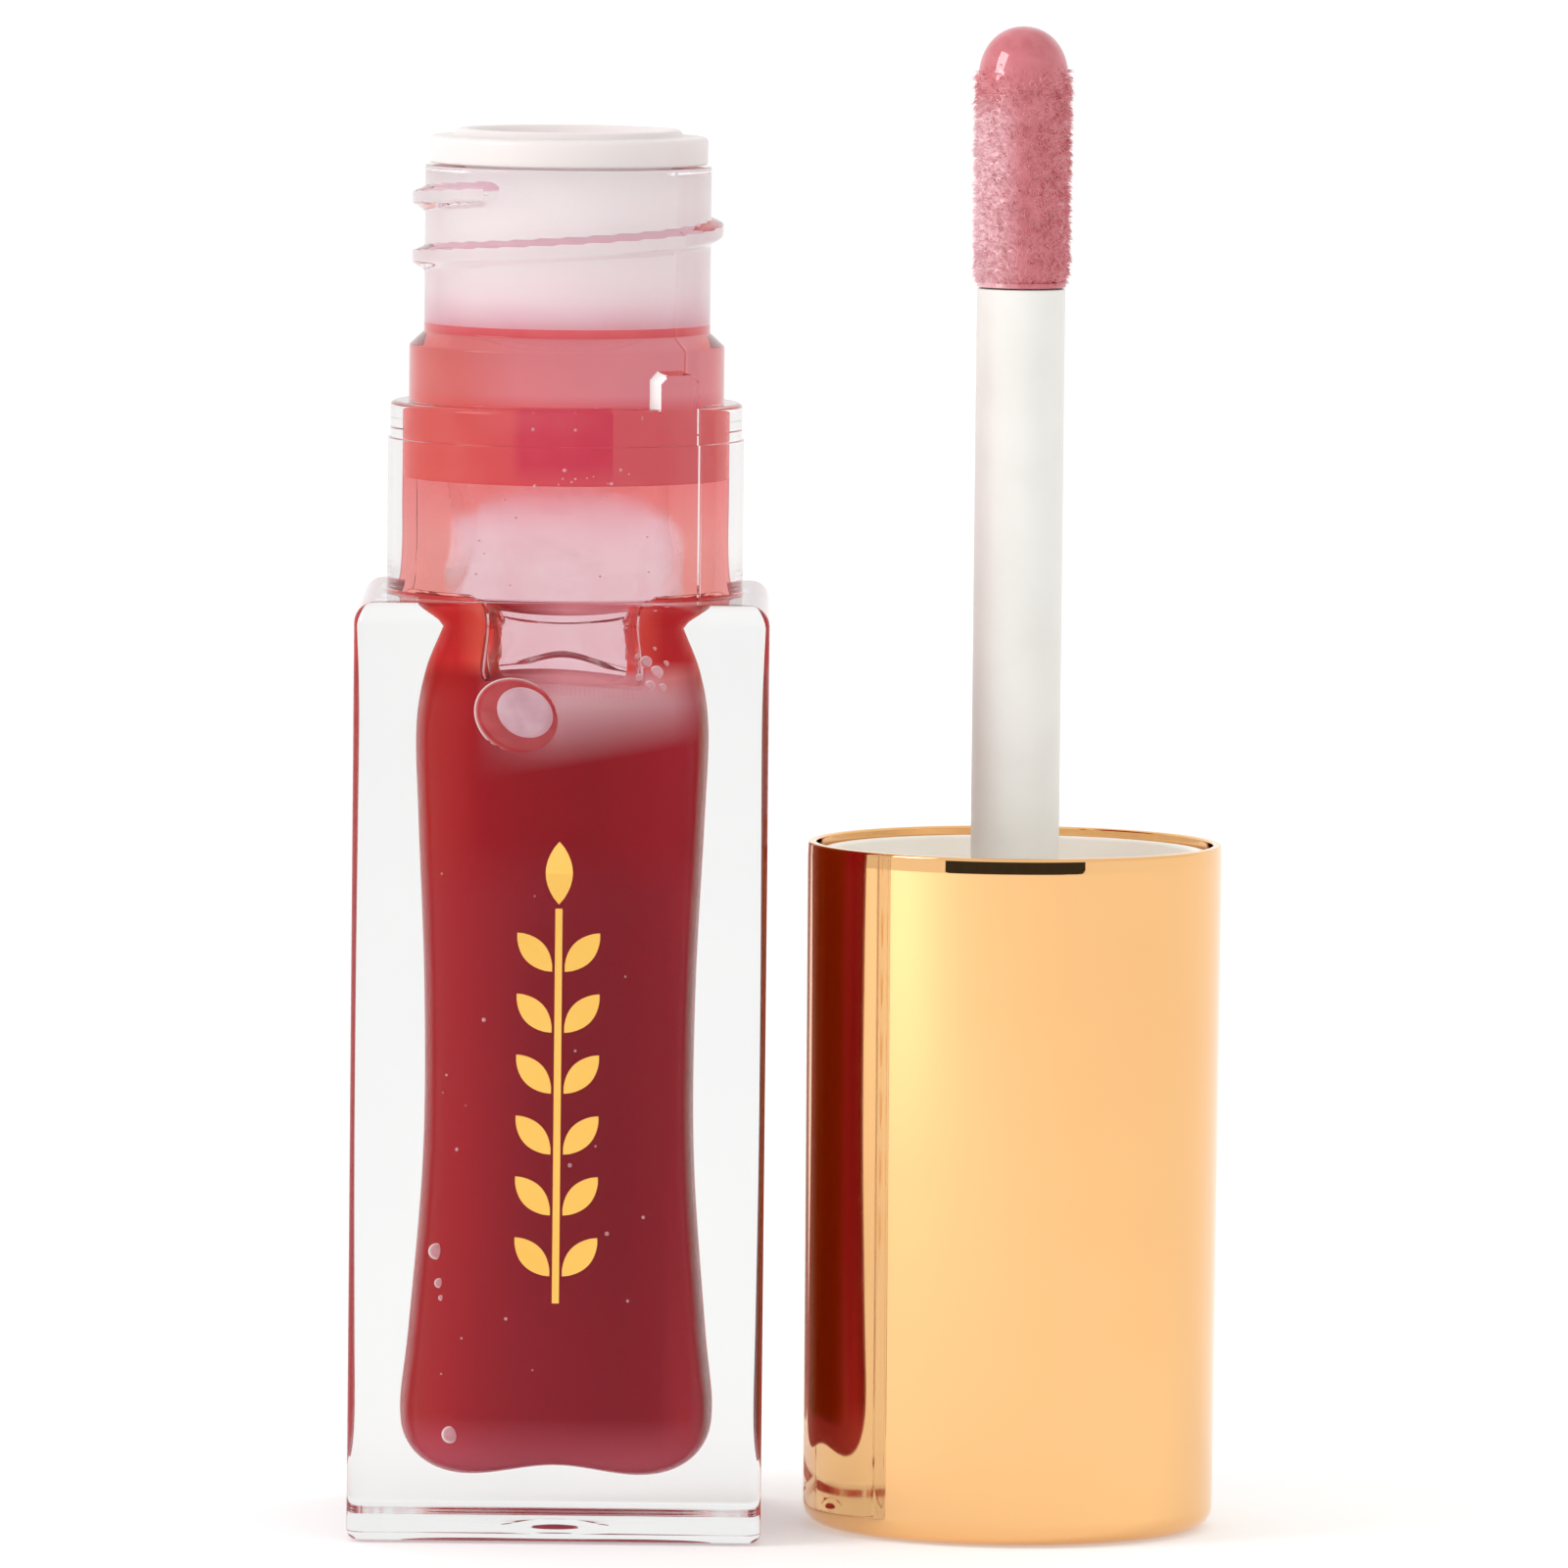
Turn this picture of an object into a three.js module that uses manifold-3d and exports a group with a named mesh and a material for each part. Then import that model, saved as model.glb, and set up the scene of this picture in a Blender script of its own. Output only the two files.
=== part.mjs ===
// Lip gloss tube: an open, thick-walled bottle with its wand applicator standing upside
// down beside it. Millimetres, +Z up, origin at the centre of the bottle's base.
//
// The applicator's pieces are drawn where they sit when the cap is screwed on the bottle,
// so that they fit it. The whole applicator is then turned over and stood beside it.

import * as THREE from "three";
import { mergeVertices } from "three/addons/utils/BufferGeometryUtils.js";
import Module from "manifold-3d";

const wasm = await Module();
wasm.setup();

// ---- Driving dimensions ----

const WIDE_SIDES = 36; // facets round the bottle's neck, the wiper and the cap
const SLIM_SIDES = 20; // facets round the stem and the tip
const CLEARANCE = 0.1; // radial play between pieces that slide or press together

const BLOCK_SIDE = 19.8;
const BLOCK_TOP = 44.9;
const BLOCK_CORNER = 1.2; // radius of the four upright edges
const BLOCK_EDGE = 1.0; // radius of the edges round the base and the top

const BOSS_RADIUS = 8.58;
const BOSS_TOP = 54.05;
const BOSS_CHAMFER = 0.25;
const BAND_HEIGHT = 1.75; // the boss is a little slimmer in a band at its top
const BAND_STEP = 0.1;
const COLLAR_RADIUS = 7.6;
const COLLAR_TOP = 57.4;
const COLLAR_CHAMFER = 0.65;
const NECK_RADIUS = 6.9;
const NECK_TOP = 65.4;
const BORE_RADIUS = 5.0;

const THREAD_PITCH = 2.84;
const THREAD_HEIGHT = 0.6; // how far the ridge stands out from the neck
const THREAD_TURNS = 1.3;
const THREAD_END_ANGLE = THREE.MathUtils.degToRad(242); // upper end of the ridge
const THREAD_END_Z = 64.2;
const THREAD_STEPS = 36; // facets in one turn
const THREAD_BASE = 0.62; // half the ridge's width at the neck
const THREAD_CREST = 0.42; // and at its crest

const LUG_WIDTH = 2.5;
const LUG_HEIGHT = 1.7;
const LUG_CHAMFER = 0.4;
const LUG_ANGLE = THREE.MathUtils.degToRad(311); // on the boss, to the right of the front

const CHAMBER_FLOOR = 2.9;
const CHAMBER_PUNT = 0.7; // the floor's middle stands this much higher
const SQUARE_BELOW = 39; // the chamber is a soft square up to this height,
const ROUND_ABOVE = 44; // and round from here on
const SQUARENESS = 3; // exponent of the soft square, where 2 is a circle

const GLOSS_LEVEL = 41.2;
const GLOSS_GAP = 0.25; // between the liquid and the chamber's floor
const GLOSS_SHRINK = 0.965; // the liquid's width as a share of the chamber's

const FLANGE_RADIUS = 6.7;
const FLANGE_TOP = 66.8;
const LIP_TOP = 67.15;
const SLEEVE_RADIUS = BORE_RADIUS - 1.5 * CLEARANCE;
const SLEEVE_BORE = 4.2;
const THROAT_BORE = 2.35; // wipes the stem
const THROAT_END = 51.0;
const THROAT_LENGTH = 3.3;
const WIPER_CONE = 3.6; // height of the taper between the sleeve and the throat
const WIPER_WALL = 0.6; // thickness at the throat's thin lower edge

const SEAT_GAP = 0.3; // between the closed cap's rim and the bottle's shoulder
const CAP_HEIGHT = 33.0;
const CAP_RADIUS = 10.0; // at the rim
const CAP_END_RADIUS = 9.9; // at the closed end
const CAP_EDGE = 1.0;
const SHELL = 0.45;

const LINER_RADIUS = 9.3;
const LINER_RECESS = 0.4; // the liner stops this far inside the shell's rim
const SKIRT_BORE = 8.85;
const SHOULDER_BORE = 7.85;
const THREAD_BORE = 7.75;
const LINER_THREAD_TURNS = 1.15;
const LINER_THREAD_BASE = 0.5;
const LINER_THREAD_CREST = 0.3;
const LINER_THREAD_DELAY = 0.17; // turns it starts after the neck's ridge
const STOP_RIB_INNER = 7.8;
const STOP_RIB_WIDTH = 1.4;
const STOP_RIB_HEIGHT = 1.9;
const STOP_RIB_DELAY = THREE.MathUtils.degToRad(18); // past the lug when closed
const LINER_CEILING = LIP_TOP + 0.35;
const LINER_TOP = 69.3;
const HOLDER_RADIUS = 3.2; // the sleeve that hangs from the ceiling round the stem
const HOLDER_LENGTH = 2.3;
const TOWER_RADIUS = 3.6;
const TOWER_TOP = 77.4;
const RIB_COUNT = 6;
const RIB_THICKNESS = 1.0;
const RIB_REACH = 9.1;

const STEM_RADIUS = 2.13;
const STEM_BORE = 1.5;
const STEM_TOP = 74.2;
const WAND_REACH = 39.3; // from the cap's rim to the end of the tip
const TIP_LENGTH = 12.5;
const TIP_RADIUS = 2.4;
const TIP_DOME = 2.5; // height of the rounded end
const FLOCK_THICKNESS = 0.43;
const SPIGOT_LENGTH = 5.6; // the part of the core inside the stem
const PIN_CHANNEL = 0.85;
const PIN_DEPTH = 1.5; // from the end of the tip to the end of the pin's channel
const PIN_RADIUS = 0.55;
const PIN_LENGTH = 5.5;

const STAND_X = 21.8; // the applicator's axis when it stands beside the bottle

// ---- Worked out from them ----

const RIM_Z = BLOCK_TOP + SEAT_GAP;
const CLOSED_HEIGHT = RIM_Z + CAP_HEIGHT;
const TIP_END = RIM_Z - WAND_REACH;
const STEM_END = TIP_END + TIP_LENGTH;

// ---- Building blocks ----

const point = (radius, height) => new THREE.Vector2(radius, height);

// Volume enclosed by a triangle mesh, negative if its faces point inwards.
function signedVolume(positions, triangles) {
  const corner = (index) => new THREE.Vector3().fromArray(positions, 3 * index);
  let sum = 0;
  for (let i = 0; i < triangles.length; i += 3) {
    const [a, b, c] = [0, 1, 2].map((k) => corner(triangles[i + k]));
    sum += a.dot(b.cross(c)) / 6;
  }
  return sum;
}

// Turns a closed geometry into a solid that can be joined and cut.
function solid(geometry) {
  geometry.deleteAttribute("normal");
  geometry.deleteAttribute("uv");
  const merged = mergeVertices(geometry, 1e-4);
  const positions = new Float32Array(merged.attributes.position.array);
  const index = merged.index.array;
  const triangles = [];
  for (let i = 0; i < index.length; i += 3) {
    const [a, b, c] = [index[i], index[i + 1], index[i + 2]];
    if (a !== b && b !== c && c !== a) triangles.push(a, b, c);
  }
  if (signedVolume(positions, triangles) < 0) triangles.reverse();
  const mesh = new wasm.Mesh({
    numProp: 3,
    vertProperties: positions,
    triVerts: new Uint32Array(triangles),
  });
  return new wasm.Manifold(mesh);
}

// One named mesh of the finished object.
function piece(name, body, color, roughness, metalness = 0) {
  const result = body.getMesh();
  const geometry = new THREE.BufferGeometry();
  geometry.setAttribute("position", new THREE.BufferAttribute(result.vertProperties, 3));
  geometry.setIndex(new THREE.BufferAttribute(result.triVerts, 1));
  geometry.computeVertexNormals();
  const material = new THREE.MeshStandardMaterial({ color, roughness, metalness });
  const mesh = new THREE.Mesh(geometry, material);
  mesh.name = name;
  return mesh;
}

// A geometry turned about the Z axis. The outline runs up the outside and down the inside.
function turnedGeometry(outline, sides) {
  return new THREE.LatheGeometry(outline, sides).rotateX(Math.PI / 2);
}

const turned = (outline, sides = WIDE_SIDES) => solid(turnedGeometry(outline, sides));

// Closes a ring-shaped outline on itself.
const ring = (outline) => [...outline, outline[0].clone()];

// Points along an ellipse's quarter about (0, centre), from one angle to another.
function quarter(radius, height, centre, from, to, steps = 6) {
  const curve = new THREE.EllipseCurve(0, centre, radius, height, from, to, to < from);
  return curve.getPoints(steps);
}

// A ridge that climbs round the Z axis: a straight bar bent into a helix. Its section is
// drawn as (height above the wall, distance along the axis) and it fades out at both ends.
function helixRidge({ section, wall, outward, turns, endAngle, endZ }) {
  const fadeTurns = 0.06;
  const steps = Math.round(turns * THREAD_STEPS);
  const bar = new THREE.ExtrudeGeometry(section, { depth: turns, steps, bevelEnabled: false });
  const position = bar.attributes.position;
  for (let i = 0; i < position.count; i++) {
    const fromEnd = turns - position.getZ(i);
    const nearest = Math.min(fromEnd, turns - fromEnd);
    const fade = THREE.MathUtils.smoothstep(nearest, -fadeTurns, fadeTurns);
    const height = position.getX(i);
    const radius = wall + outward * (height > 0 ? height * fade : height);
    const angle = endAngle - 2 * Math.PI * fromEnd;
    const z = endZ - THREAD_PITCH * fromEnd + position.getY(i);
    position.setXYZ(i, radius * Math.cos(angle), radius * Math.sin(angle), z);
  }
  return solid(bar);
}

// Section of a thread ridge: wide at the wall, narrow and chamfered at the crest.
function ridgeSection(halfBase, halfCrest) {
  const root = -0.3; // sunk into the wall
  const chamfer = 0.1;
  const shoulder = 0.7 * THREAD_HEIGHT;
  const shape = new THREE.Shape();
  shape.moveTo(root, -halfBase);
  shape.lineTo(0, -halfBase);
  shape.lineTo(shoulder, -halfCrest - chamfer);
  shape.lineTo(THREAD_HEIGHT, chamfer - halfCrest);
  shape.lineTo(THREAD_HEIGHT, halfCrest - chamfer);
  shape.lineTo(shoulder, halfCrest + chamfer);
  shape.lineTo(0, halfBase);
  shape.lineTo(root, halfBase);
  return shape;
}

// ---- Bottle side ----

function blockBody() {
  const half = BLOCK_SIDE / 2;
  const inner = half - BLOCK_CORNER;
  const shape = new THREE.Shape();
  const corners = [[inner, -inner], [inner, inner], [-inner, inner], [-inner, -inner]];
  corners.forEach(([x, y], i) => {
    const start = (i - 1) * (Math.PI / 2);
    shape.absarc(x, y, BLOCK_CORNER, start, start + Math.PI / 2);
  });
  const block = new THREE.ExtrudeGeometry(shape, {
    depth: BLOCK_TOP - 2 * BLOCK_EDGE,
    bevelThickness: BLOCK_EDGE,
    bevelSize: BLOCK_EDGE,
    bevelOffset: -BLOCK_EDGE,
    bevelSegments: 4,
    curveSegments: 4,
  });
  return solid(block.translate(0, 0, BLOCK_EDGE));
}

// Boss, collar and neck as one turned shape, rooted inside the block.
function finishBody() {
  const root = BLOCK_TOP - 3;
  const slim = BOSS_RADIUS - BAND_STEP;
  return turned([
    point(0, root),
    point(BOSS_RADIUS, root),
    point(BOSS_RADIUS, BOSS_TOP - BAND_HEIGHT),
    point(slim, BOSS_TOP - BAND_HEIGHT),
    point(slim, BOSS_TOP - BOSS_CHAMFER),
    point(slim - BOSS_CHAMFER, BOSS_TOP),
    point(COLLAR_RADIUS, BOSS_TOP),
    point(COLLAR_RADIUS, COLLAR_TOP - COLLAR_CHAMFER),
    point(NECK_RADIUS, COLLAR_TOP),
    point(NECK_RADIUS, NECK_TOP),
    point(0, NECK_TOP),
  ]);
}

function neckThread() {
  return helixRidge({
    section: ridgeSection(THREAD_BASE, THREAD_CREST),
    wall: NECK_RADIUS,
    outward: 1,
    turns: THREAD_TURNS,
    endAngle: THREAD_END_ANGLE,
    endZ: THREAD_END_Z,
  });
}

// The stop that halts the cap at the end of its travel.
function stopLug() {
  const half = LUG_WIDTH / 2;
  const sunk = -0.5; // its foot, inside the boss
  const shape = new THREE.Shape();
  shape.moveTo(-half, sunk);
  shape.lineTo(half, sunk);
  shape.lineTo(half, LUG_HEIGHT - LUG_CHAMFER);
  shape.lineTo(half - LUG_CHAMFER, LUG_HEIGHT);
  shape.lineTo(LUG_CHAMFER - half, LUG_HEIGHT);
  shape.lineTo(-half, LUG_HEIGHT - LUG_CHAMFER);
  const root = COLLAR_RADIUS - 0.4;
  const depth = BOSS_RADIUS - BAND_STEP - root;
  const lug = new THREE.ExtrudeGeometry(shape, { depth, bevelEnabled: false });
  lug.rotateX(Math.PI / 2).rotateZ(Math.PI / 2);
  lug.translate(root, 0, BOSS_TOP).rotateZ(LUG_ANGLE);
  return solid(lug);
}

// Half outline of the chamber, from the middle of its floor up to the start of the bore.
function chamberOutline() {
  const curve = new THREE.SplineCurve([
    point(0, CHAMBER_FLOOR + CHAMBER_PUNT),
    point(3.2, CHAMBER_FLOOR + 0.5 * CHAMBER_PUNT),
    point(5.6, CHAMBER_FLOOR),
    point(7.1, CHAMBER_FLOOR + 0.9),
    point(7.5, CHAMBER_FLOOR + 2.9),
    point(7.1, 10),
    point(6.5, 18),
    point(6.5, 26),
    point(6.85, 34),
    point(7.0, 38.5),
    point(6.6, 41.2),
    point(5.8, 43.4),
    point(5.2, 45.8),
    point(BORE_RADIUS, 49),
  ]);
  return curve.getPoints(22);
}

// Presses a turned geometry towards a soft square below the shoulder.
function softSquare(geometry) {
  const position = geometry.attributes.position;
  for (let i = 0; i < position.count; i++) {
    const angle = Math.atan2(position.getY(i), position.getX(i));
    const round = THREE.MathUtils.smoothstep(position.getZ(i), SQUARE_BELOW, ROUND_ABOVE);
    const power = THREE.MathUtils.lerp(SQUARENESS, 2, round);
    const reach = Math.abs(Math.cos(angle)) ** power + Math.abs(Math.sin(angle)) ** power;
    const scale = reach ** (-1 / power);
    position.setX(i, position.getX(i) * scale);
    position.setY(i, position.getY(i) * scale);
  }
  return geometry;
}

function cavityBody() {
  const above = NECK_TOP + 1;
  const outline = [...chamberOutline(), point(BORE_RADIUS, above), point(0, above)];
  return solid(softSquare(turnedGeometry(outline, WIDE_SIDES)));
}

function makeBottle() {
  const outside = blockBody().add(finishBody()).add(neckThread()).add(stopLug());
  return piece("bottle", outside.subtract(cavityBody()), 0xf0f2f2, 0.05);
}

function makeGloss() {
  const wet = chamberOutline().filter((p) => p.y < GLOSS_LEVEL - GLOSS_GAP);
  const side = wet.map((p) => point(p.x * GLOSS_SHRINK, p.y + GLOSS_GAP));
  const edge = side[side.length - 1].x - GLOSS_GAP;
  const outline = [...side, point(edge, GLOSS_LEVEL), point(0, GLOSS_LEVEL)];
  const liquid = solid(softSquare(turnedGeometry(outline, WIDE_SIDES)));
  return piece("gloss", liquid, 0xa01828, 0.12);
}

function makeWiper() {
  const under = NECK_TOP + CLEARANCE;
  const outerCone = THROAT_END + THROAT_LENGTH - 0.9;
  const innerCone = THROAT_END + THROAT_LENGTH;
  const edge = 0.1; // chamfer of the flange
  const lip = SLEEVE_BORE + 1.0; // radius of the rounded lip's crest
  const outline = ring([
    point(THROAT_BORE, THROAT_END),
    point(THROAT_BORE + WIPER_WALL, THROAT_END),
    point(THROAT_BORE + WIPER_WALL + 0.2, outerCone),
    point(SLEEVE_RADIUS, outerCone + WIPER_CONE),
    point(SLEEVE_RADIUS, under),
    point(FLANGE_RADIUS, under),
    point(FLANGE_RADIUS, FLANGE_TOP - edge),
    point(FLANGE_RADIUS - edge, FLANGE_TOP),
    point(lip + 0.3, LIP_TOP - 0.05),
    point(lip, LIP_TOP),
    point(lip - 0.4, LIP_TOP - 0.05),
    point(lip - 0.8, LIP_TOP - 0.35),
    point(SLEEVE_BORE, LIP_TOP - 0.9),
    point(SLEEVE_BORE, innerCone + WIPER_CONE),
    point(THROAT_BORE, innerCone),
  ]);
  return piece("wiper", turned(outline), 0xe9e6e4, 0.45);
}

// ---- Applicator, drawn as screwed on the bottle ----

function makeOvercap() {
  const inside = CLOSED_HEIGHT - SHELL;
  const edgeCentre = point(CAP_END_RADIUS - CAP_EDGE, CLOSED_HEIGHT - CAP_EDGE);
  const arc = (radius, from, to) =>
    new THREE.EllipseCurve(edgeCentre.x, edgeCentre.y, radius, radius, from, to, to < from)
      .getPoints(5);
  const outline = [
    point(0, inside),
    ...arc(CAP_EDGE - SHELL, Math.PI / 2, 0),
    point(CAP_RADIUS - SHELL, RIM_Z),
    point(CAP_RADIUS, RIM_Z),
    ...arc(CAP_EDGE, 0, Math.PI / 2),
    point(0, CLOSED_HEIGHT),
  ];
  return piece("overcap", turned(outline), 0xf0b878, 0.12, 1);
}

function linerBody() {
  const socket = STEM_RADIUS + 1.2 * CLEARANCE;
  const channel = STEM_BORE + CLEARANCE;
  const gap = 0.3; // left over the lug, the collar and the stem's end
  const lugClear = BOSS_TOP + LUG_HEIGHT + gap;
  const bottom = RIM_Z + LINER_RECESS;
  return turned(ring([
    point(socket, LINER_CEILING - HOLDER_LENGTH),
    point(HOLDER_RADIUS, LINER_CEILING - HOLDER_LENGTH),
    point(HOLDER_RADIUS + 0.3, LINER_CEILING),
    point(THREAD_BORE, LINER_CEILING),
    point(THREAD_BORE, COLLAR_TOP + gap + 0.2),
    point(SHOULDER_BORE, COLLAR_TOP + gap),
    point(SHOULDER_BORE, lugClear),
    point(SKIRT_BORE, lugClear),
    point(SKIRT_BORE, bottom + 0.3),
    point(SKIRT_BORE + 0.15, bottom),
    point(LINER_RADIUS, bottom),
    point(LINER_RADIUS, LINER_TOP),
    point(TOWER_RADIUS, LINER_TOP),
    point(TOWER_RADIUS, TOWER_TOP),
    point(channel, TOWER_TOP),
    point(channel, STEM_TOP + gap),
    point(socket, STEM_TOP + gap),
  ]));
}

// The female ridge lies half a pitch below the neck's own ridge when the cap is closed.
function linerThread() {
  return helixRidge({
    section: ridgeSection(LINER_THREAD_BASE, LINER_THREAD_CREST),
    wall: THREAD_BORE,
    outward: -1,
    turns: LINER_THREAD_TURNS,
    endAngle: THREAD_END_ANGLE - 2 * Math.PI * LINER_THREAD_DELAY,
    endZ: THREAD_END_Z - THREAD_PITCH * (0.5 + LINER_THREAD_DELAY),
  });
}

// The rib inside the skirt that meets the bottle's stop lug.
function stopRib() {
  const outer = SKIRT_BORE + 0.2;
  const middle = (STOP_RIB_INNER + outer) / 2;
  const foot = BOSS_TOP + 0.35;
  const rib = new THREE.BoxGeometry(outer - STOP_RIB_INNER, STOP_RIB_WIDTH, STOP_RIB_HEIGHT);
  rib.translate(middle, 0, foot + STOP_RIB_HEIGHT / 2);
  return solid(rib.rotateZ(LUG_ANGLE + STOP_RIB_DELAY));
}

// One of the ribs that carry the shell's closed end.
function towerRib(index) {
  const height = TOWER_TOP - LINER_TOP;
  const start = TOWER_RADIUS - 0.6;
  const rib = new THREE.BoxGeometry(RIB_REACH - start, RIB_THICKNESS, height);
  rib.translate((RIB_REACH + start) / 2, 0, LINER_TOP - 0.2 + height / 2);
  return solid(rib.rotateZ((index * 2 * Math.PI) / RIB_COUNT));
}

function makeInnerCap() {
  let body = linerBody().add(linerThread()).add(stopRib());
  for (let i = 0; i < RIB_COUNT; i++) {
    body = body.add(towerRib(i));
  }
  return piece("inner_cap", body, 0xe4dfd8, 0.4);
}

function makeStem() {
  const outline = ring([
    point(STEM_BORE, STEM_END + CLEARANCE),
    point(STEM_RADIUS, STEM_END + CLEARANCE),
    point(STEM_RADIUS, STEM_TOP),
    point(STEM_BORE, STEM_TOP),
  ]);
  return piece("stem", turned(outline, SLIM_SIDES), 0xece8e2, 0.35);
}

function makeTipCore() {
  const radius = TIP_RADIUS - FLOCK_THICKNESS - CLEARANCE;
  const inset = TIP_RADIUS - radius;
  const spigot = STEM_BORE - CLEARANCE;
  const top = STEM_END + SPIGOT_LENGTH;
  const outline = [
    ...quarter(radius, TIP_DOME - inset, TIP_END + TIP_DOME, -Math.PI / 2, 0),
    point(radius, STEM_END - CLEARANCE),
    point(spigot, STEM_END - CLEARANCE),
    point(spigot, top),
    point(PIN_CHANNEL, top),
    point(PIN_CHANNEL, TIP_END + PIN_DEPTH),
    point(0, TIP_END + PIN_DEPTH),
  ];
  return piece("tip_core", turned(outline, SLIM_SIDES), 0xd9cfc8, 0.5);
}

function makeTipFlock() {
  const inside = TIP_RADIUS - FLOCK_THICKNESS;
  const centre = TIP_END + TIP_DOME;
  const top = STEM_END - CLEARANCE;
  const outline = [
    ...quarter(TIP_RADIUS, TIP_DOME, centre, -Math.PI / 2, 0),
    point(TIP_RADIUS, top - 0.3),
    point(TIP_RADIUS - 0.2, top),
    point(inside, top),
    ...quarter(inside, TIP_DOME - FLOCK_THICKNESS, centre, 0, -Math.PI / 2),
  ];
  return piece("tip_flock", turned(outline, SLIM_SIDES), 0xc66a70, 0.95);
}

function makeTipPin() {
  const start = TIP_END + PIN_DEPTH + 0.3;
  const pin = new THREE.CylinderGeometry(PIN_RADIUS, PIN_RADIUS, PIN_LENGTH, 12);
  pin.rotateX(Math.PI / 2).translate(0, 0, start + PIN_LENGTH / 2);
  return piece("tip_pin", solid(pin), 0xc8c8cc, 0.3);
}

// ---- Assembly ----

const bottleSide = new THREE.Group();
bottleSide.add(makeBottle(), makeWiper(), makeGloss());

const applicator = new THREE.Group();
applicator.add(makeOvercap(), makeInnerCap(), makeStem());
applicator.add(makeTipCore(), makeTipFlock(), makeTipPin());
applicator.rotation.y = Math.PI;
applicator.position.set(STAND_X, 0, CLOSED_HEIGHT);

const lipGlossTube = new THREE.Group();
lipGlossTube.add(bottleSide, applicator);

export default lipGlossTube;
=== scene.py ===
"""Looks of the lip gloss tube: an open, clear, thick-walled bottle holding red gloss, and its
gold screw cap with the wand and flocked tip, standing upside down beside it.

Lengths in the first list are millimetres, and so are all profiles; meshes and the stage are in
metres, in the CAD frame."""

import math
import random

import bmesh
import bpy
from mathutils import Matrix, Vector, noise


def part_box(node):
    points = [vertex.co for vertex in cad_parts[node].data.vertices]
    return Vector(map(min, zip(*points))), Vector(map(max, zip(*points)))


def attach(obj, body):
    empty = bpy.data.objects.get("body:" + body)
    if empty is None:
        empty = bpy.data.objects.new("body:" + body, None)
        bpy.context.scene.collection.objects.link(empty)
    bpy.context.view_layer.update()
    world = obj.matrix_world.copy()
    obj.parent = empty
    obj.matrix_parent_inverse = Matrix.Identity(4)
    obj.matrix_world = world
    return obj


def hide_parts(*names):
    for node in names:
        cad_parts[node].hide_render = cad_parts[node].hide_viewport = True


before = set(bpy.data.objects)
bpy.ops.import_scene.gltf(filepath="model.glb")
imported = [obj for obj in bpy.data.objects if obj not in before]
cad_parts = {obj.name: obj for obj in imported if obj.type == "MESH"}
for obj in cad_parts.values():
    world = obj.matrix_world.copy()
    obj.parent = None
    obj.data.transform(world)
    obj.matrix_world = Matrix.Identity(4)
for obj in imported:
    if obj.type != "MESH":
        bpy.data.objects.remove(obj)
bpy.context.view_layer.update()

MM = 0.001
FULL_TURN = 2 * math.pi
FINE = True
BLACK = (0.0, 0.0, 0.0)
WHITE = (1.0, 1.0, 1.0)

# ---- Sizes, in millimetres ----

BLOCK_TOP = 44.9
BLOCK_CORNER = 0.7
BLOCK_EDGE = 1.0
BASE_EDGE = 0.5
PUNT_RADIUS = 3.0
PUNT_DEPTH = 0.3
BOSS_RADIUS = 8.58
BOSS_TOP = 54.05
BAND_HEIGHT = 1.75
BAND_STEP = 0.1
SLIM_BOSS = BOSS_RADIUS - BAND_STEP
COLLAR_RADIUS = 7.6
COLLAR_TOP = 57.4
COLLAR_CHAMFER = 0.65
NECK_RADIUS = 6.9
BORE_RADIUS = 5.0

THREAD_PITCH = 2.84
THREAD_HEIGHT = 0.6
THREAD_HALF_WIDTH = 0.66
THREAD_UPPER_FLANK = 0.34
THREAD_LOWER_FLANK = 0.52
THREAD_TURNS = 1.3
THREAD_END_ANGLE = math.radians(242)
THREAD_END_Z = 64.2

LUG_HALF_WIDTH = 1.25
LUG_HEIGHT = 1.7
LUG_CHAMFER = 0.4
LUG_ANGLE = math.radians(311)
SEAM_ANGLES = (math.radians(319), math.radians(139))
SEAM_HEIGHT = 0.045

# Radius of the chamber's flats and height, from the middle of its floor up its wall.
CHAMBER = [
    (0.0, 3.6),
    (3.2, 3.25),
    (5.6, 2.9),
    (7.1, 3.8),
    (7.5, 5.8),
    (7.1, 10.0),
    (6.5, 18.0),
    (6.5, 26.0),
    (6.85, 34.0),
    (7.0, 38.5),
    (6.6, 41.2),
    (5.8, 43.3),
    (5.15, 45.0),
    (5.0, 46.6),
    (5.0, 49.0),
]

# The chamber is a soft square below one height and round above the other.
SQUARE_BELOW = 39.0
ROUND_ABOVE = 44.0
SQUARENESS = 3.0
FLOOR_WAVE = 0.5

GLOSS_LEVEL = 41.0
SURFACE_SAG = 0.55
# The gloss climbs the shoulder on both sides, from these cosines of the angle outwards.
CLIMB_TOP = 44.7
FRONT_CLIMB = 0.52
BACK_CLIMB = 0.80
CLIMB_HUG = 30
THIN_LEAN = math.radians(10)
BIG_BUBBLE = (-2.05, 39.35)
BIG_BUBBLE_LEAN = math.radians(28)
BIG_BUBBLE_SIZE = (2.2, 0.42, 1.8)
INNER_BUBBLE_SIZE = (1.6, 0.40, 1.32)
BUBBLE_SEED = 7
WET_GAP = 0.02
FILM_TOP = 50.28
FILM_THICKNESS = 0.14
FILM_ROWS = 180
FILM_CROWDING = 1.6
FILM_IOR = 1.48
PLUG_BOTTOM = 50.3
PLUG_TOP = 57.75

# Strengths of painted light: glows that stand in for light passing through, and in the liner for
# light in the shade of the cap's hollow.
PLUG_GLOW = 0.36
BUBBLE_GLOW = 0.25
WIPER_GLOW = 0.22
THIN_GLOW = 0.15
LINER_GLOW = 0.12

SLEEVE_BORE = 4.2
THROAT_BORE = 2.35
THROAT_WALL = 0.6
THROAT_LENGTH = 3.3
WIPER_CONE = 3.6

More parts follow.
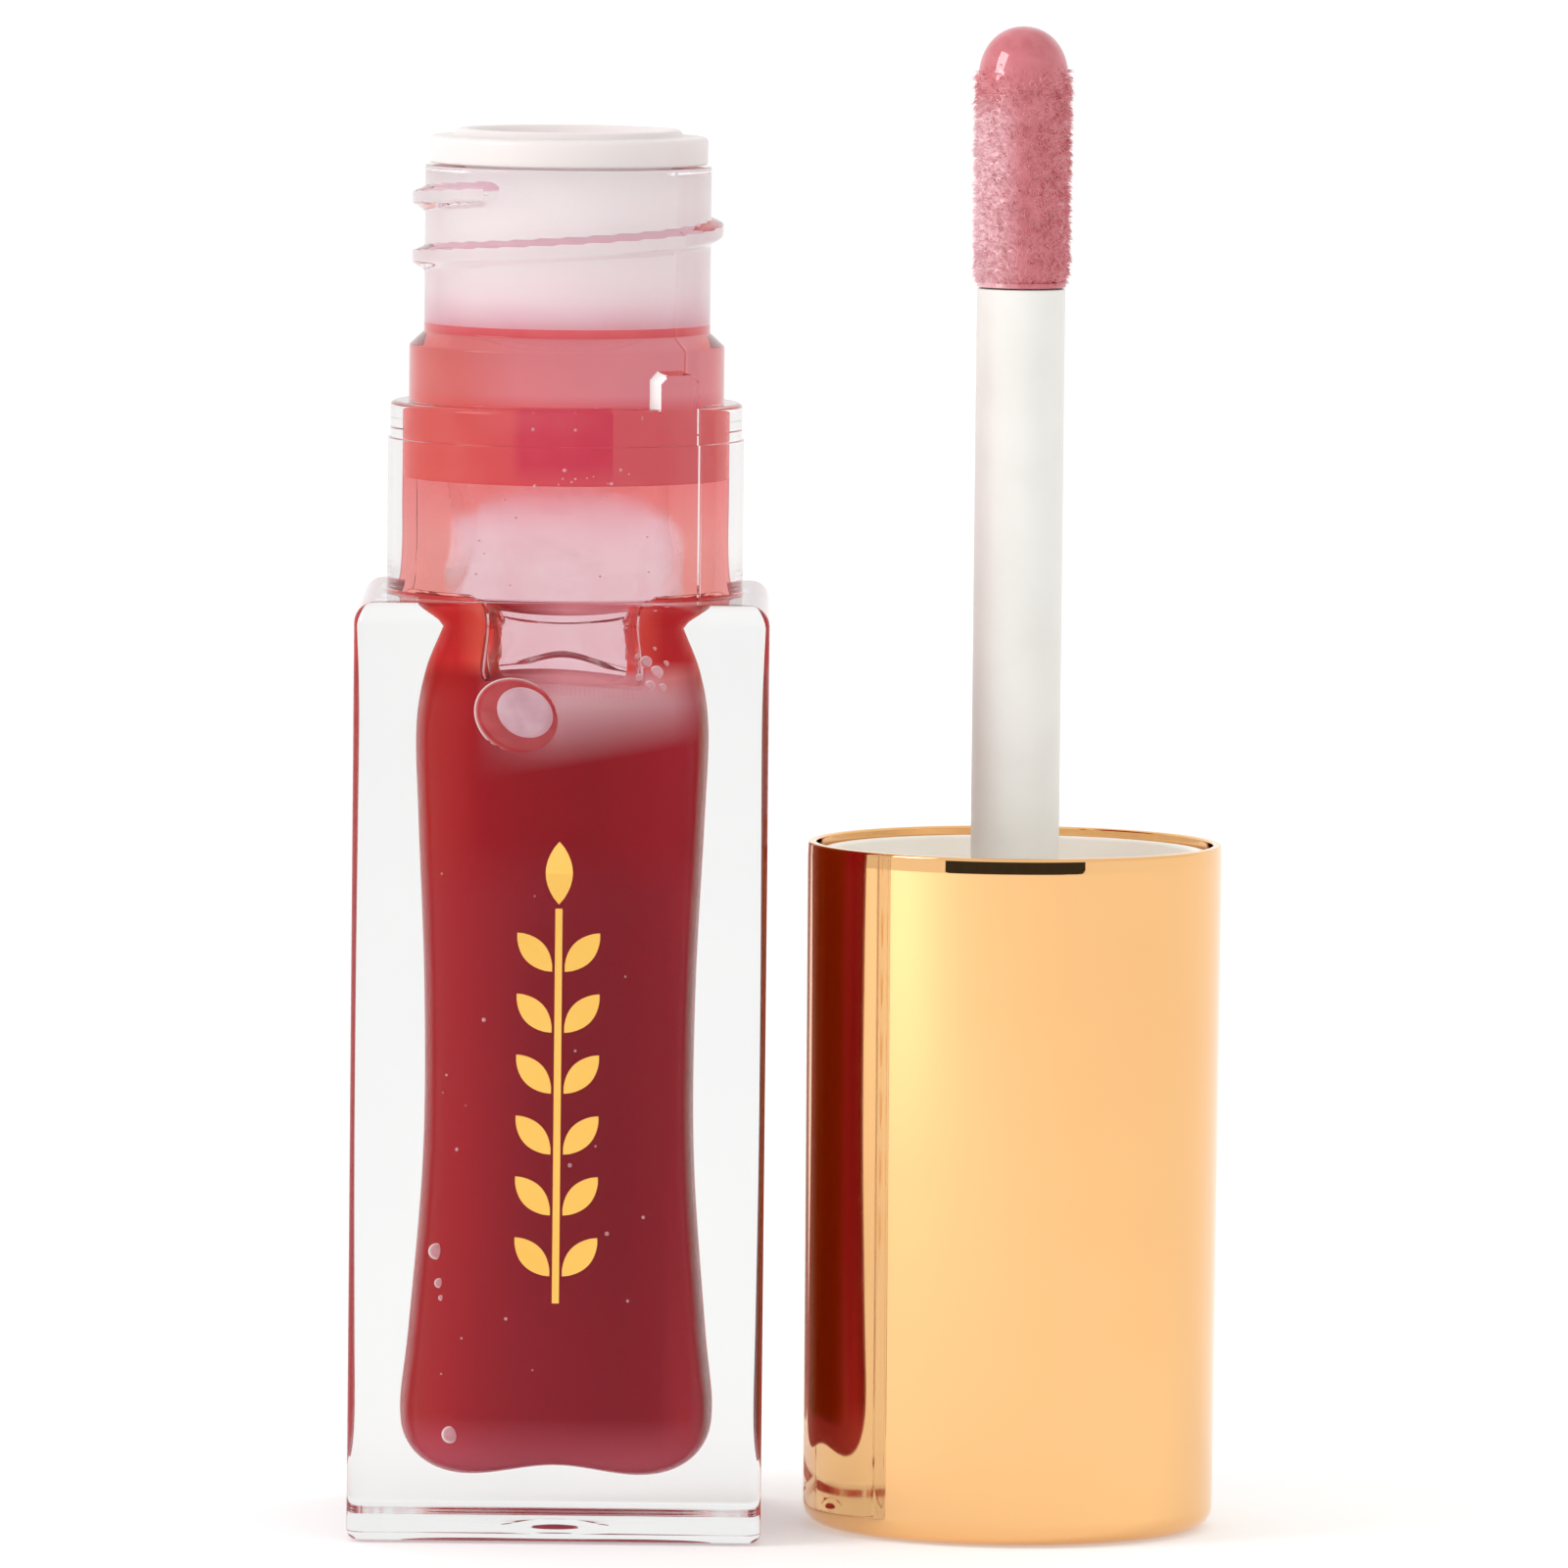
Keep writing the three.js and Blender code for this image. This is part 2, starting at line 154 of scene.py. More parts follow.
SHELL = 0.45
CAP_EDGE = 1.0
CAP_TAPER = 0.1
SKIRT_BORE = 8.85
SHOULDER_BORE = 7.85
THREAD_BORE = 7.75
TOWER_RADIUS = 3.6
LINER_CEILING = 9.9
LUG_STEP_DEPTH = 10.45
SOCKET_PLAY = 0.06
LINER_THREAD_DELAY = 0.17
LINER_THREAD_TURNS = 1.15
LINER_THREAD_HALF_WIDTH = 0.52

STEM_WALL = 0.63
TIP_DOME = 2.5
PAD_LAP = 0.12
PAD_THICKNESS = 0.43
PAD_DEPTH = 0.22
FIBRES = 9000 if FINE else 2500
FIBRE_SEED = 23
FIBRE_LENGTH = 0.34

FOIL_THICKNESS = 0.03
FOIL_HALF_LENGTH = 10.9
FOIL_MIDDLE_Z = 22.4
STALK_HALF_WIDTH = 0.17
STALK_LENGTH = 18.9
LEAF_PAIRS = 6
LEAF_LEAN = math.radians(42)
LEAF_LENGTH = 2.5
LEAF_WIDTH = 1.15
TOP_LEAF_LENGTH = 3.0
TOP_LEAF_WIDTH = 1.3

# ---- Stage, in metres ----

FLOOR_GAP = 0.0001
FLOOR_GLOW = 0.50
SWEEP_HALF_WIDTH = 3.0
SWEEP_BACK = 2.2
SWEEP_BEND = 0.9
SWEEP_TOP = 2.4
WORLD_LIGHT = 0.95
CARD_Y = -2.7
CARD_HALF_WIDTH = 2.2
CARD_FOOT = 0.0
CARD_TOP = 0.06
CAMERA_PLACE = (0.01065, -0.802, 0.099)
CAMERA_LENS = 383.4
CAMERA_PITCH = math.radians(90 - 4.514)
CAMERA_ROLL = math.radians(0.6)

# ---- Places, from the CAD boxes ----

block_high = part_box("bottle")[1]
HALF_SIDE = block_high.x / MM
NECK_TOP = block_high.z / MM
# Half the angle that one flat side of the block covers, seen from its axis.
FLAT_ANGLE = math.atan((HALF_SIDE - BLOCK_CORNER) / HALF_SIDE)
wiper_low, wiper_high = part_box("wiper")
THROAT_END = wiper_low.z / MM
LIP_TOP = wiper_high.z / MM
FLANGE_RADIUS = wiper_high.x / MM
cap_low, cap_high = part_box("overcap")
CAP_X = (cap_low.x + cap_high.x) / 2 / MM
CAP_RADIUS = (cap_high.x - cap_low.x) / 2 / MM
CAP_TOP = cap_high.z / MM
liner_low, liner_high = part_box("inner_cap")
LINER_RADIUS = (liner_high.x - liner_low.x) / 2 / MM
LINER_RIM = liner_high.z / MM
LINER_FOOT = liner_low.z / MM
stem_low, stem_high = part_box("stem")
STEM_RADIUS = (stem_high.x - stem_low.x) / 2 / MM
STEM_FOOT = stem_low.z / MM
STEM_END = stem_high.z / MM
tip_low, tip_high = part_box("tip_flock")
TIP_RADIUS = (tip_high.x - tip_low.x) / 2 / MM
TIP_FOOT = tip_low.z / MM
TIP_END = tip_high.z / MM


# ---- Small curves and steps ----


def smoothstep(low, high, value):
    t = min(1.0, max(0.0, (value - low) / (high - low)))
    return t * t * (3 - 2 * t)


def lerp(a, b, t):
    return a + (b - a) * t


def polar(radius, angle, z):
    return radius * math.cos(angle), radius * math.sin(angle), z


def turn_between(a, b):
    """Turn from angle b to angle a, the short way round."""
    return (a - b + math.pi) % FULL_TURN - math.pi


def spline(points, steps):
    """Catmull-Rom curve through (radius, height) points."""
    result = []
    last = len(points) - 1
    for i in range(steps + 1):
        place = last * i / steps
        k = min(int(place), last - 1)
        t = place - k
        four = [points[max(0, min(last, k + j))] for j in (-1, 0, 1, 2)]
        result.append(tuple(catmull([p[axis] for p in four], t) for axis in (0, 1)))
    return result


def catmull(values, t):
    a, b, c, d = values
    slope_b = (c - a) / 2
    slope_c = (d - b) / 2
    cubic = 2 * (b - c) + slope_b + slope_c
    square = -3 * (b - c) - 2 * slope_b - slope_c
    return ((cubic * t + square) * t + slope_b) * t + b


def rounded(corners, closed=False, steps=5):
    """A polyline of (x, y, fillet radius) corners with its fillets drawn as arcs. Each fillet is
    held by a point close outside it, so that the flats beside it stay flat when shaded."""
    hold = 0.05
    result = []
    count = len(corners)
    for i, (x, y, radius) in enumerate(corners):
        here = Vector((x, y))
        if radius == 0 or (not closed and i in (0, count - 1)):
            result.append((x, y))
            continue
        before = Vector(corners[i - 1][:2]) - here
        after = Vector(corners[(i + 1) % count][:2]) - here
        turn = before.angle(after)
        reach = radius / math.tan(turn / 2)
        limit = 0.49 * min(before.length, after.length)
        reach = min(reach, limit)
        radius = reach * math.tan(turn / 2)
        centre = here + (before.normalized() + after.normalized()).normalized() * (
            radius / math.sin(turn / 2)
        )
        start = here + before.normalized() * reach - centre
        end = here + after.normalized() * reach - centre
        sweep = start.angle_signed(end)
        if before.length > reach + 2 * hold:
            held = here + before.normalized() * (reach + hold)
            result.append(tuple(held))
        for k in range(steps + 1):
            spoke = start.copy()
            spoke.rotate(Matrix.Rotation(-sweep * k / steps, 2))
            result.append(tuple(centre + spoke))
        if after.length > reach + 2 * hold:
            held = here + after.normalized() * (reach + hold)
            result.append(tuple(held))
    return result


def refined(profile, low, high, step):
    """Splits the segments of a profile that lie between two heights into short ones."""
    result = [profile[0]]
    for (r0, z0), (r1, z1) in zip(profile, profile[1:]):
        length = math.hypot(r1 - r0, z1 - z0)
        inside = low <= (z0 + z1) / 2 <= high
        parts = max(1, math.ceil(length / step)) if inside else 1
        for k in range(1, parts + 1):
            result.append((lerp(r0, r1, k / parts), lerp(z0, z1, k / parts)))
    return result


# ---- Meshes ----


def skin(rings, closed=False):
    """A closed surface through rings of points, in millimetres. A ring of one point is a pole;
    a closed skin joins its last ring to its first."""
    bm = bmesh.new()
    row_number = bm.faces.layers.int.new("row")
    rows = [[bm.verts.new(Vector(p) * MM) for p in ring] for ring in rings]
    pairs = list(zip(rows, rows[1:]))
    if closed:
        pairs.append((rows[-1], rows[0]))
    for index, (lower, upper) in enumerate(pairs):
        sides = max(len(lower), len(upper))
        if sides == 1:
            continue
        for i in range(sides):
            j = i + 1
            corners = [
                lower[i % len(lower)],
                lower[j % len(lower)],
                upper[j % len(upper)],
                upper[i % len(upper)],
            ]
            face = bm.faces.new(list(dict.fromkeys(corners)))
            face.smooth = True
            face[row_number] = index
    bmesh.ops.recalc_face_normals(bm, faces=bm.faces)
    return bm


def turned_rings(profile, sides, x=0.0):
    """Rings of points for a profile of (radius, height) turned about an upright axis."""
    rings = []
    for radius, z in profile:
        if radius < 1e-6:
            rings.append([(x, 0.0, z)])
            continue
        spokes = [FULL_TURN * i / sides for i in range(sides)]
        rings.append([(x + radius * math.cos(a), radius * math.sin(a), z) for a in spokes])
    return rings


def new_object(name, bm, materials):
    mesh = bpy.data.meshes.new(name)
    bm.to_mesh(mesh)
    bm.free()
    for material in materials:
        mesh.materials.append(material)
    thing = bpy.data.objects.new(name, mesh)
    bpy.context.scene.collection.objects.link(thing)
    return thing


def add_piece(name, bm, body, materials, stands_for=(), sharp=32):
    """Makes a finished piece of the object from a bmesh. Edges that bend more than sharp, in
    degrees, are shaded as edges."""
    piece = new_object(name, bm, materials)
    piece.data.set_sharp_from_angle(angle=math.radians(sharp))
    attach(piece, body)
    if stands_for:
        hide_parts(*stands_for)
    return piece


# ---- Materials ----


def new_material(name):
    material = bpy.data.materials.new(name)
    material.use_nodes = True
    tree = material.node_tree
    shader = tree.nodes["Principled BSDF"]
    coordinates = tree.nodes.new("ShaderNodeTexCoord")
    return material, tree, shader, coordinates.outputs["Object"]


def noise_value(tree, place, scale, detail=3.0, stretch=None):
    """A noise pattern with features about 1 / scale metres wide."""
    if stretch:
        mapping = tree.nodes.new("ShaderNodeMapping")
        mapping.inputs["Scale"].default_value = stretch
        tree.links.new(place, mapping.inputs["Vector"])
        place = mapping.outputs["Vector"]
    pattern = tree.nodes.new("ShaderNodeTexNoise")
    pattern.inputs["Scale"].default_value = scale
    pattern.inputs["Detail"].default_value = detail
    tree.links.new(place, pattern.inputs["Vector"])
    return pattern.outputs["Fac"]


def colour_steps(tree, value, steps):
    """A colour ramp from (place, colour) pairs."""
    ramp = tree.nodes.new("ShaderNodeValToRGB")
    elements = ramp.color_ramp.elements
    while len(elements) < len(steps):
        elements.new(0.5)
    for element, (place, colour) in zip(elements, steps):
        element.position = place
        element.color = (*colour, 1.0)
    tree.links.new(value, ramp.inputs["Fac"])
    return ramp.outputs["Color"]


def two_tone(tree, value, dark, light):
    """A tint that runs from dark to light with a noise pattern."""
    return colour_steps(tree, value, [(0.3, dark), (0.7, light)])


def clouded(tree, body, cloud, low, high, most, colour):
    """Mixes up to a share of another colour into a body where a noise pattern is strong."""
    return mixed(tree, value_range(tree, cloud, low, high, 0.0, most), body, colour)


def value_range(tree, value, from_low, from_high, to_low, to_high):
    change = tree.nodes.new("ShaderNodeMapRange")
    change.inputs["From Min"].default_value = from_low
    change.inputs["From Max"].default_value = from_high
    change.inputs["To Min"].default_value = to_low
    change.inputs["To Max"].default_value = to_high
    tree.links.new(value, change.inputs["Value"])
    return change.outputs["Result"]


def along(tree, place, axis, low, high):
    """0 to 1 along an axis between two places in millimetres."""
    split = tree.nodes.new("ShaderNodeSeparateXYZ")
    tree.links.new(place, split.inputs["Vector"])
    return value_range(tree, split.outputs[axis], low * MM, high * MM, 0.0, 1.0)


def mixed(tree, factor, first, second, mode="MIX"):
    """Mixes two colours, each a socket or a constant, by a factor that is a socket or a number."""
    mix = tree.nodes.new("ShaderNodeMix")
    mix.data_type = "RGBA"
    mix.blend_type = mode
    colours = [socket for socket in mix.inputs if socket.type == "RGBA"]
    for source, target in ((factor, mix.inputs[0]), (first, colours[0]), (second, colours[1])):
        if isinstance(source, bpy.types.NodeSocket):
            tree.links.new(source, target)
        elif isinstance(source, tuple):
            target.default_value = (*source, 1.0)
        else:
            target.default_value = source
    return next(socket for socket in mix.outputs if socket.type == "RGBA")


def add_bump(tree, shader, value, strength, distance):
    bump = tree.nodes.new("ShaderNodeBump")
    bump.inputs["Strength"].default_value = strength
    bump.inputs["Distance"].default_value = distance
    tree.links.new(value, bump.inputs["Height"])
    tree.links.new(bump.outputs["Normal"], shader.inputs["Normal"])


def paint(tree, shader, colour, cloud, smooth, rough):
    """Gives a shader its colour, and a roughness that varies with a noise pattern."""
    tree.links.new(colour, shader.inputs["Base Color"])
    tree.links.new(value_range(tree, cloud, 0.3, 0.7, smooth, rough), shader.inputs["Roughness"])


def make_glow(tree, shader, colour, strength):
    """Weak light of its own, for what passes through the real thing. Strength is a number or a
    socket."""
    tree.links.new(colour, shader.inputs["Emission Color"])
    if isinstance(strength, bpy.types.NodeSocket):
        tree.links.new(strength, shader.inputs["Emission Strength"])
    else:
        shader.inputs["Emission Strength"].default_value = strength


def make_see_through(shader, ior):
    shader.inputs["Roughness"].default_value = 0.0
    shader.inputs["Transmission Weight"].default_value = 1.0
    shader.inputs["IOR"].default_value = ior


def facing(tree, low, high):
    """0 where a surface faces the viewer, 1 where it is seen edge on."""
    weight = tree.nodes.new("ShaderNodeLayerWeight")
    weight.inputs["Blend"].default_value = 0.5
    return value_range(tree, weight.outputs["Facing"], low, high, 0.0, 1.0)


def turned_to(tree, axis, low, high):
    """0 to 1 as a surface turns to face along an axis."""
    geometry = tree.nodes.new("ShaderNodeNewGeometry")
    split = tree.nodes.new("ShaderNodeSeparateXYZ")
    tree.links.new(geometry.outputs["Normal"], split.inputs["Vector"])
    return value_range(tree, split.outputs[axis], low, high, 0.0, 1.0)


def lug_painted_reflection():
    """Side of the stop lug, where the clear plastic mirrors the light: an opaque near-white
    painted reflection, not see-through.
    """
    material, tree, shader, place = new_material("lug_painted_reflection")
    cloud = noise_value(tree, place, 900)
    tint = two_tone(tree, cloud, (0.86, 0.83, 0.82), (0.95, 0.93, 0.92))
    paint(tree, shader, tint, cloud, 0.10, 0.20)
    return material


def clear_plastic():
    """Polished clear wall of the bottle: faintly grey, darker where it is seen edge on, and
    painted mauve on the upward-facing flanks of the neck's thread, a painted reflection of the
    pink inside the neck.
    """
    material, tree, shader, place = new_material("clear_plastic")
    cloud = noise_value(tree, place, 120)
    tint = two_tone(tree, cloud, (0.79, 0.795, 0.79), (0.82, 0.82, 0.815))
    on_neck = along(tree, place, "Z", 57.0, 59.0)
    tint = mixed(tree, on_neck, tint, (0.98, 0.97, 0.97))
    tint = mixed(tree, facing(tree, 0.30, 0.55), tint, (0.82, 0.76, 0.77))
    # Painted reflection: upward-facing thread flanks on the neck, below its rim, are tinted mauve
    # for the pink gloss and wiper that they mirror.
    flank = mixed(tree, 1.0, on_neck, turned_to(tree, "Z", 0.22, 0.42), "MULTIPLY")
    below_rim = along(tree, place, "Z", NECK_TOP - 0.2, NECK_TOP - 0.3)
    flank = mixed(tree, 1.0, flank, below_rim, "MULTIPLY")
    tint = mixed(tree, flank, tint, (0.66, 0.34, 0.44))
    tint = mixed(tree, facing(tree, 0.72, 1.0), tint, (0.48, 0.42, 0.42))
    tree.links.new(tint, shader.inputs["Base Color"])
    make_see_through(shader, 1.57)
    shader.inputs["Specular Tint"].default_value = (0.25, 0.25, 0.25, 1.0)
    return material


def wetted_wall():
    """Inside wall of the bottle, wetted by the gloss: nothing is bent or mirrored where plastic
    and gloss touch, and the gloss tints what is seen through it. Above the gloss the tint is
    pale in an arch in the middle and deep red round it."""
    material, tree, shader, place = new_material("wetted_wall")
    height = along(tree, place, "Z", 40.0, 66.0)
    on_sleeve = [
        (0.70, (0.98, 0.92, 0.94)),
        (0.78, (0.99, 0.965, 0.965)),
        (1.0, (1.0, 0.98, 0.98)),
    ]
    face_on = [
        (0.0, (0.97, 0.93, 0.94)),
        (0.04, (0.93, 0.66, 0.74)),
        (0.24, (0.93, 0.70, 0.76)),
        (0.30, (0.92, 0.64, 0.71)),
        (0.35, (0.89, 0.44, 0.50)),
        (0.396, (0.86, 0.22, 0.25)),
        (0.399, (0.92, 0.56, 0.60)),
        (0.66, (0.93, 0.60, 0.63)),
    ]
    round_it = [
        (0.0, (0.97, 0.93, 0.94)),
        (0.04, (0.90, 0.36, 0.31)),
        (0.20, (0.90, 0.33, 0.30)),
        (0.29, (0.90, 0.34, 0.32)),
        (0.396, (0.90, 0.24, 0.24)),
        (0.399, (0.92, 0.54, 0.56)),
        (0.66, (0.93, 0.60, 0.62)),
    ]
    face_on = colour_steps(tree, height, face_on + on_sleeve)
    round_it = colour_steps(tree, height, round_it + on_sleeve)
    closing = value_range(tree, along(tree, place, "Z", 48.4, 50.4), 0.0, 1.0, 0.0, 0.30)
    lean = tree.nodes.new("ShaderNodeMath")
    lean.operation = "ADD"
    tree.links.new(facing(tree, 0.0, 1.0), lean.inputs[0])
    tree.links.new(closing, lean.inputs[1])
    film = mixed(
        tree, value_range(tree, lean.outputs["Value"], 0.20, 0.31, 0.0, 1.0), face_on, round_it
    )
    edge = mixed(tree, facing(tree, 0.86, 0.99), film, (0.58, 0.14, 0.12))
    tree.links.new(edge, shader.inputs["Base Color"])
    make_see_through(shader, 1.0)
    return material


def film_side(name, dark, light, ior):
    """One side of the gloss film. Where it touches the wall nothing is bent, so the IOR is 1."""
    material, tree, shader, place = new_material(name)
    tint = two_tone(tree, noise_value(tree, place, 500), dark, light)
    tree.links.new(tint, shader.inputs["Base Color"])
    make_see_through(shader, ior)
    return material


def gloss_liquid():
    """The gloss itself, with its light and shade painted in: bright red at the sides where light
    gets in, dark in the middle, glowing mauve where it thins out at its surface, glowing orange
    where it clings to the shoulder, and a painted orange-brown reflection on the side turned to
    the right."""
    material, tree, shader, place = new_material("gloss_liquid")
    across = along(tree, place, "X", -7.4, 7.4)
    # Painted light and shade across the gloss: brighter red at the left and right sides, darkest
    # right of the middle.
    body = colour_steps(tree, across, [
        (0.0, (0.72, 0.050, 0.050)),
        (0.16, (0.60, 0.026, 0.038)),
        (0.45, (0.50, 0.014, 0.038)),
        (0.70, (0.44, 0.009, 0.028)),
        (0.84, (0.50, 0.014, 0.036)),
        (0.93, (0.74, 0.045, 0.075)),
        (1.0, (0.84, 0.13, 0.18)),
    ])
    # The same painted light and shade higher up, brightest on the left.
    shoulder = colour_steps(tree, across, [
        (0.0, (0.76, 0.045, 0.035)),
        (0.25, (0.54, 0.002, 0.014)),
        (0.6, (0.46, 0.0, 0.012)),
        (1.0, (0.64, 0.010, 0.035)),
    ])
    body = mixed(tree, along(tree, place, "Z", 30.5, 33.5), body, shoulder)
    body = mixed(tree, along(tree, place, "Z", 5.8, 3.6), body, (0.84, 0.14, 0.20))
    # Painted light passing through the thin gloss at its surface: pale mauve, and it glows.
    middle = colour_steps(tree, across, [
        (0.22, BLACK),
        (0.50, (0.9, 0.9, 0.9)),
        (0.86, (0.9, 0.9, 0.9)),
        (1.0, BLACK),
    ])
    leaning = tree.nodes.new("ShaderNodeMapping")
    leaning.inputs["Rotation"].default_value = (0.0, THIN_LEAN, 0.0)
    tree.links.new(place, leaning.inputs["Vector"])
    rise = along(tree, leaning.outputs["Vector"], "Z", 36.4, 39.7)
    lit_thin_mask = mixed(tree, rise, BLACK, middle)
    body = mixed(tree, lit_thin_mask, body, (1.0, 0.66, 0.71))
    # Painted light passing through the gloss that clings to the shoulder: bright orange, and it
    # glows too.
    clinging = colour_steps(tree, across, [
        (0.16, (0.80, 0.04, 0.045)),
        (0.23, (1.0, 0.22, 0.15)),
        (0.33, (1.0, 0.26, 0.18)),
        (0.66, (1.0, 0.20, 0.16)),
        (0.76, (1.0, 0.17, 0.14)),
        (0.83, (0.74, 0.03, 0.045)),
    ])
    clinging = mixed(tree, along(tree, place, "Z", 43.9, 44.6), clinging, (0.80, 0.04, 0.045))
    clings = along(tree, place, "Z", 41.2, 42.0)
    body = mixed(tree, clings, body, clinging)
    lit_thin_mask = mixed(tree, clings, lit_thin_mask, WHITE)
    cloud = noise_value(tree, place, 260, 2.0, (1.0, 1.0, 0.4))
    body = clouded(tree, body, cloud, 0.35, 0.8, 0.07, (0.66, 0.04, 0.05))
    # Painted reflection: the side turned to the right is tinted orange-brown.
    body = mixed(tree, turned_to(tree, "X", 0.92, 0.985), body, (0.54, 0.065, 0.006))
    paint(tree, shader, body, noise_value(tree, place, 300), 0.10, 0.20)
    shader.inputs["Specular IOR Level"].default_value = 0.03
    make_glow(tree, shader, body, value_range(tree, lit_thin_mask, 0.0, 1.0, 0.0, THIN_GLOW))
    return material


def bubble_skin(name, dark, light):
    """An air bubble in the gloss, painted: a painted highlight as a bright rim, brightest on the
    left where the light comes from, round a dull middle, with a weak glow for light passing
    through.
    """
    material, tree, shader, place = new_material(name)
    cloud = noise_value(tree, place, 900)
    middle = two_tone(tree, cloud, dark, light)
    # Painted highlight on the rim, brightest where the surface turns to the left.
    rim = mixed(tree, turned_to(tree, "X", -0.3, 0.6), (1.0, 0.90, 0.88), (0.86, 0.46, 0.48))
    body = mixed(tree, facing(tree, 0.10, 0.42), middle, rim)
    paint(tree, shader, body, cloud, 0.05, 0.12)
    make_glow(tree, shader, body, BUBBLE_GLOW)
    return material


def gloss_plug():
    """Gloss squeezed between the wiper and the wall: coral, its translucency painted as a glow for
    light passing through it, with the wiper's throat showing through it as a darker patch."""
    material, tree, shader, place = new_material("gloss_plug")
    across = along(tree, place, "X", -5.0, 5.0)
    body = colour_steps(tree, across, [
        (0.0, (0.80, 0.15, 0.12)),
        (0.25, (0.78, 0.14, 0.15)),
        (0.55, (0.76, 0.15, 0.19)),
        (1.0, (0.74, 0.17, 0.19)),
    ])
    upper = colour_steps(
        tree,
        across,
        [(0.0, (0.76, 0.21, 0.18)), (0.3, (0.79, 0.33, 0.36)), (0.8, (0.82, 0.38, 0.43))],
    )
    body = mixed(tree, along(tree, place, "Z", 53.8, 54.6), body, upper)
    body = mixed(tree, along(tree, place, "Z", 56.5, 57.2), body, (0.76, 0.13, 0.15))
    body = mixed(tree, facing(tree, 0.40, 0.85), body, (0.78, 0.12, 0.09))
    sides = colour_steps(
        tree, across, [(0.28, BLACK), (0.33, WHITE), (0.69, WHITE), (0.70, BLACK)]
    )
    level = colour_steps(
        tree,
        along(tree, place, "Z", 50.0, 54.4),
        [(0.05, BLACK), (0.30, WHITE), (0.86, WHITE), (0.90, BLACK)],
    )
    throat = mixed(tree, 1.0, sides, level, "MULTIPLY")
    body = mixed(tree, throat, body, (0.70, 0.075, 0.14))
    cloud = noise_value(tree, place, 330, 2.5)
    body = clouded(tree, body, cloud, 0.4, 0.75, 0.22, (0.88, 0.38, 0.38))
    paint(tree, shader, body, cloud, 0.10, 0.25)
    shader.inputs["Specular IOR Level"].default_value = 0.1
    # Painted light: the glow stands for light passing through the gloss.
    make_glow(tree, shader, body, PLUG_GLOW)
    return material


def milky_plastic():
    """The wiper: soft milky plastic, rosy further down where gloss shows through it, and glowing a
    little below the neck's rim, painted light for what passes through the milky plastic.
    """
    material, tree, shader, place = new_material("milky_plastic")
    height = along(tree, place, "Z", 50.5, 67.5)
    body = colour_steps(tree, height, [
        (0.0, (0.62, 0.12, 0.14)),
        (0.38, (0.74, 0.26, 0.29)),
        (0.43, (0.86, 0.52, 0.60)),
        (0.52, (0.93, 0.80, 0.83)),
        (0.66, (0.95, 0.90, 0.91)),
        (1.0, (0.95, 0.92, 0.92)),
    ])
    cloud = noise_value(tree, place, 380, 3.0, (1.0, 1.0, 0.5))
    flange = along(tree, place, "Z", NECK_TOP, NECK_TOP + 0.1)
    body = clouded(tree, body, cloud, 0.35, 0.75, 0.30, (0.92, 0.88, 0.88))
    body = mixed(tree, flange, body, (0.72, 0.665, 0.65))
    paint(tree, shader, body, cloud, 0.28, 0.42)
    shader.inputs["Subsurface Weight"].default_value = 0.35
    shader.inputs["Subsurface Radius"].default_value = (0.0012, 0.0009, 0.0009)
    shader.inputs["Subsurface Scale"].default_value = 1.0
    # Painted light: a weak glow below the neck's rim for light passing through the wiper.
    inside_neck_glow = value_range(
        tree, along(tree, place, "Z", NECK_TOP - 0.2, NECK_TOP), 0.0, 1.0, WIPER_GLOW, 0.0
    )
    make_glow(tree, shader, body, inside_neck_glow)
    return material


def rose_gold(name, smooth, low, high):
    """Mirror-bright metallised skin, clearest on the cap's rim."""
    material, tree, shader, place = new_material(name)
    cloud = noise_value(tree, place, 90, 2.0)
    tint = two_tone(tree, cloud, low, high)
    tree.links.new(tint, shader.inputs["Base Color"])
    shader.inputs["Metallic"].default_value = 1.0
    haze = noise_value(tree, place, 700, 4.0)
    rough = value_range(tree, haze, 0.3, 0.8, smooth, smooth + 0.05)
    rim = along(tree, place, "Z", CAP_TOP - 1.0, CAP_TOP - 0.8)
    rough = mixed(tree, rim, rough, (0.004, 0.004, 0.004))
    tree.links.new(rough, shader.inputs["Roughness"])
    add_bump(tree, shader, noise_value(tree, place, 150, 1.0), 0.04, 0.0002)
    return material


def cream_plastic(name, colour, deep, glow=0.0):
    """Satin moulded plastic, with a fine grain, and a glow of painted light where one is given."""
    material, tree, shader, place = new_material(name)
    cloud = noise_value(tree, place, 250)
    tint = colour_steps(tree, cloud, [(0.25, deep), (0.6, colour)])
    paint(tree, shader, tint, cloud, 0.32, 0.45)
    add_bump(tree, shader, noise_value(tree, place, 5000, 2.0), 0.08, 0.00003)
    make_glow(tree, shader, tint, glow)
    return material


def flock_fibre(name, dark, light):
    """Gloss-soaked flock, wetter and smoother on the rounded end, and paler on its left side below
    the end: painted light from the left.
    """
    material, tree, shader, place = new_material(name)
    cloud = noise_value(tree, place, 900, 4.0)
    body = two_tone(tree, cloud, dark, light)
    across = along(tree, place, "X", CAP_X - TIP_RADIUS, CAP_X + TIP_RADIUS)
    # Painted light: the left side is paler, fading out towards the middle, only below the wet end.
    painted_left_light = value_range(tree, across, 0.05, 0.5, 0.8, 0.0)
    dry = along(tree, place, "Z", TIP_END - 2.8, TIP_END - 4.5)
    painted_left_light = mixed(tree, 1.0, painted_left_light, dry, "MULTIPLY")
    body = mixed(tree, painted_left_light, body, (0.86, 0.60, 0.64))
    tree.links.new(body, shader.inputs["Base Color"])
    wet = along(tree, place, "Z", TIP_END - 3.2, TIP_END - 2.2)
    tree.links.new(value_range(tree, wet, 0.0, 1.0, 0.30, 0.06), shader.inputs["Roughness"])
    shader.inputs["IOR"].default_value = 1.8
    return material


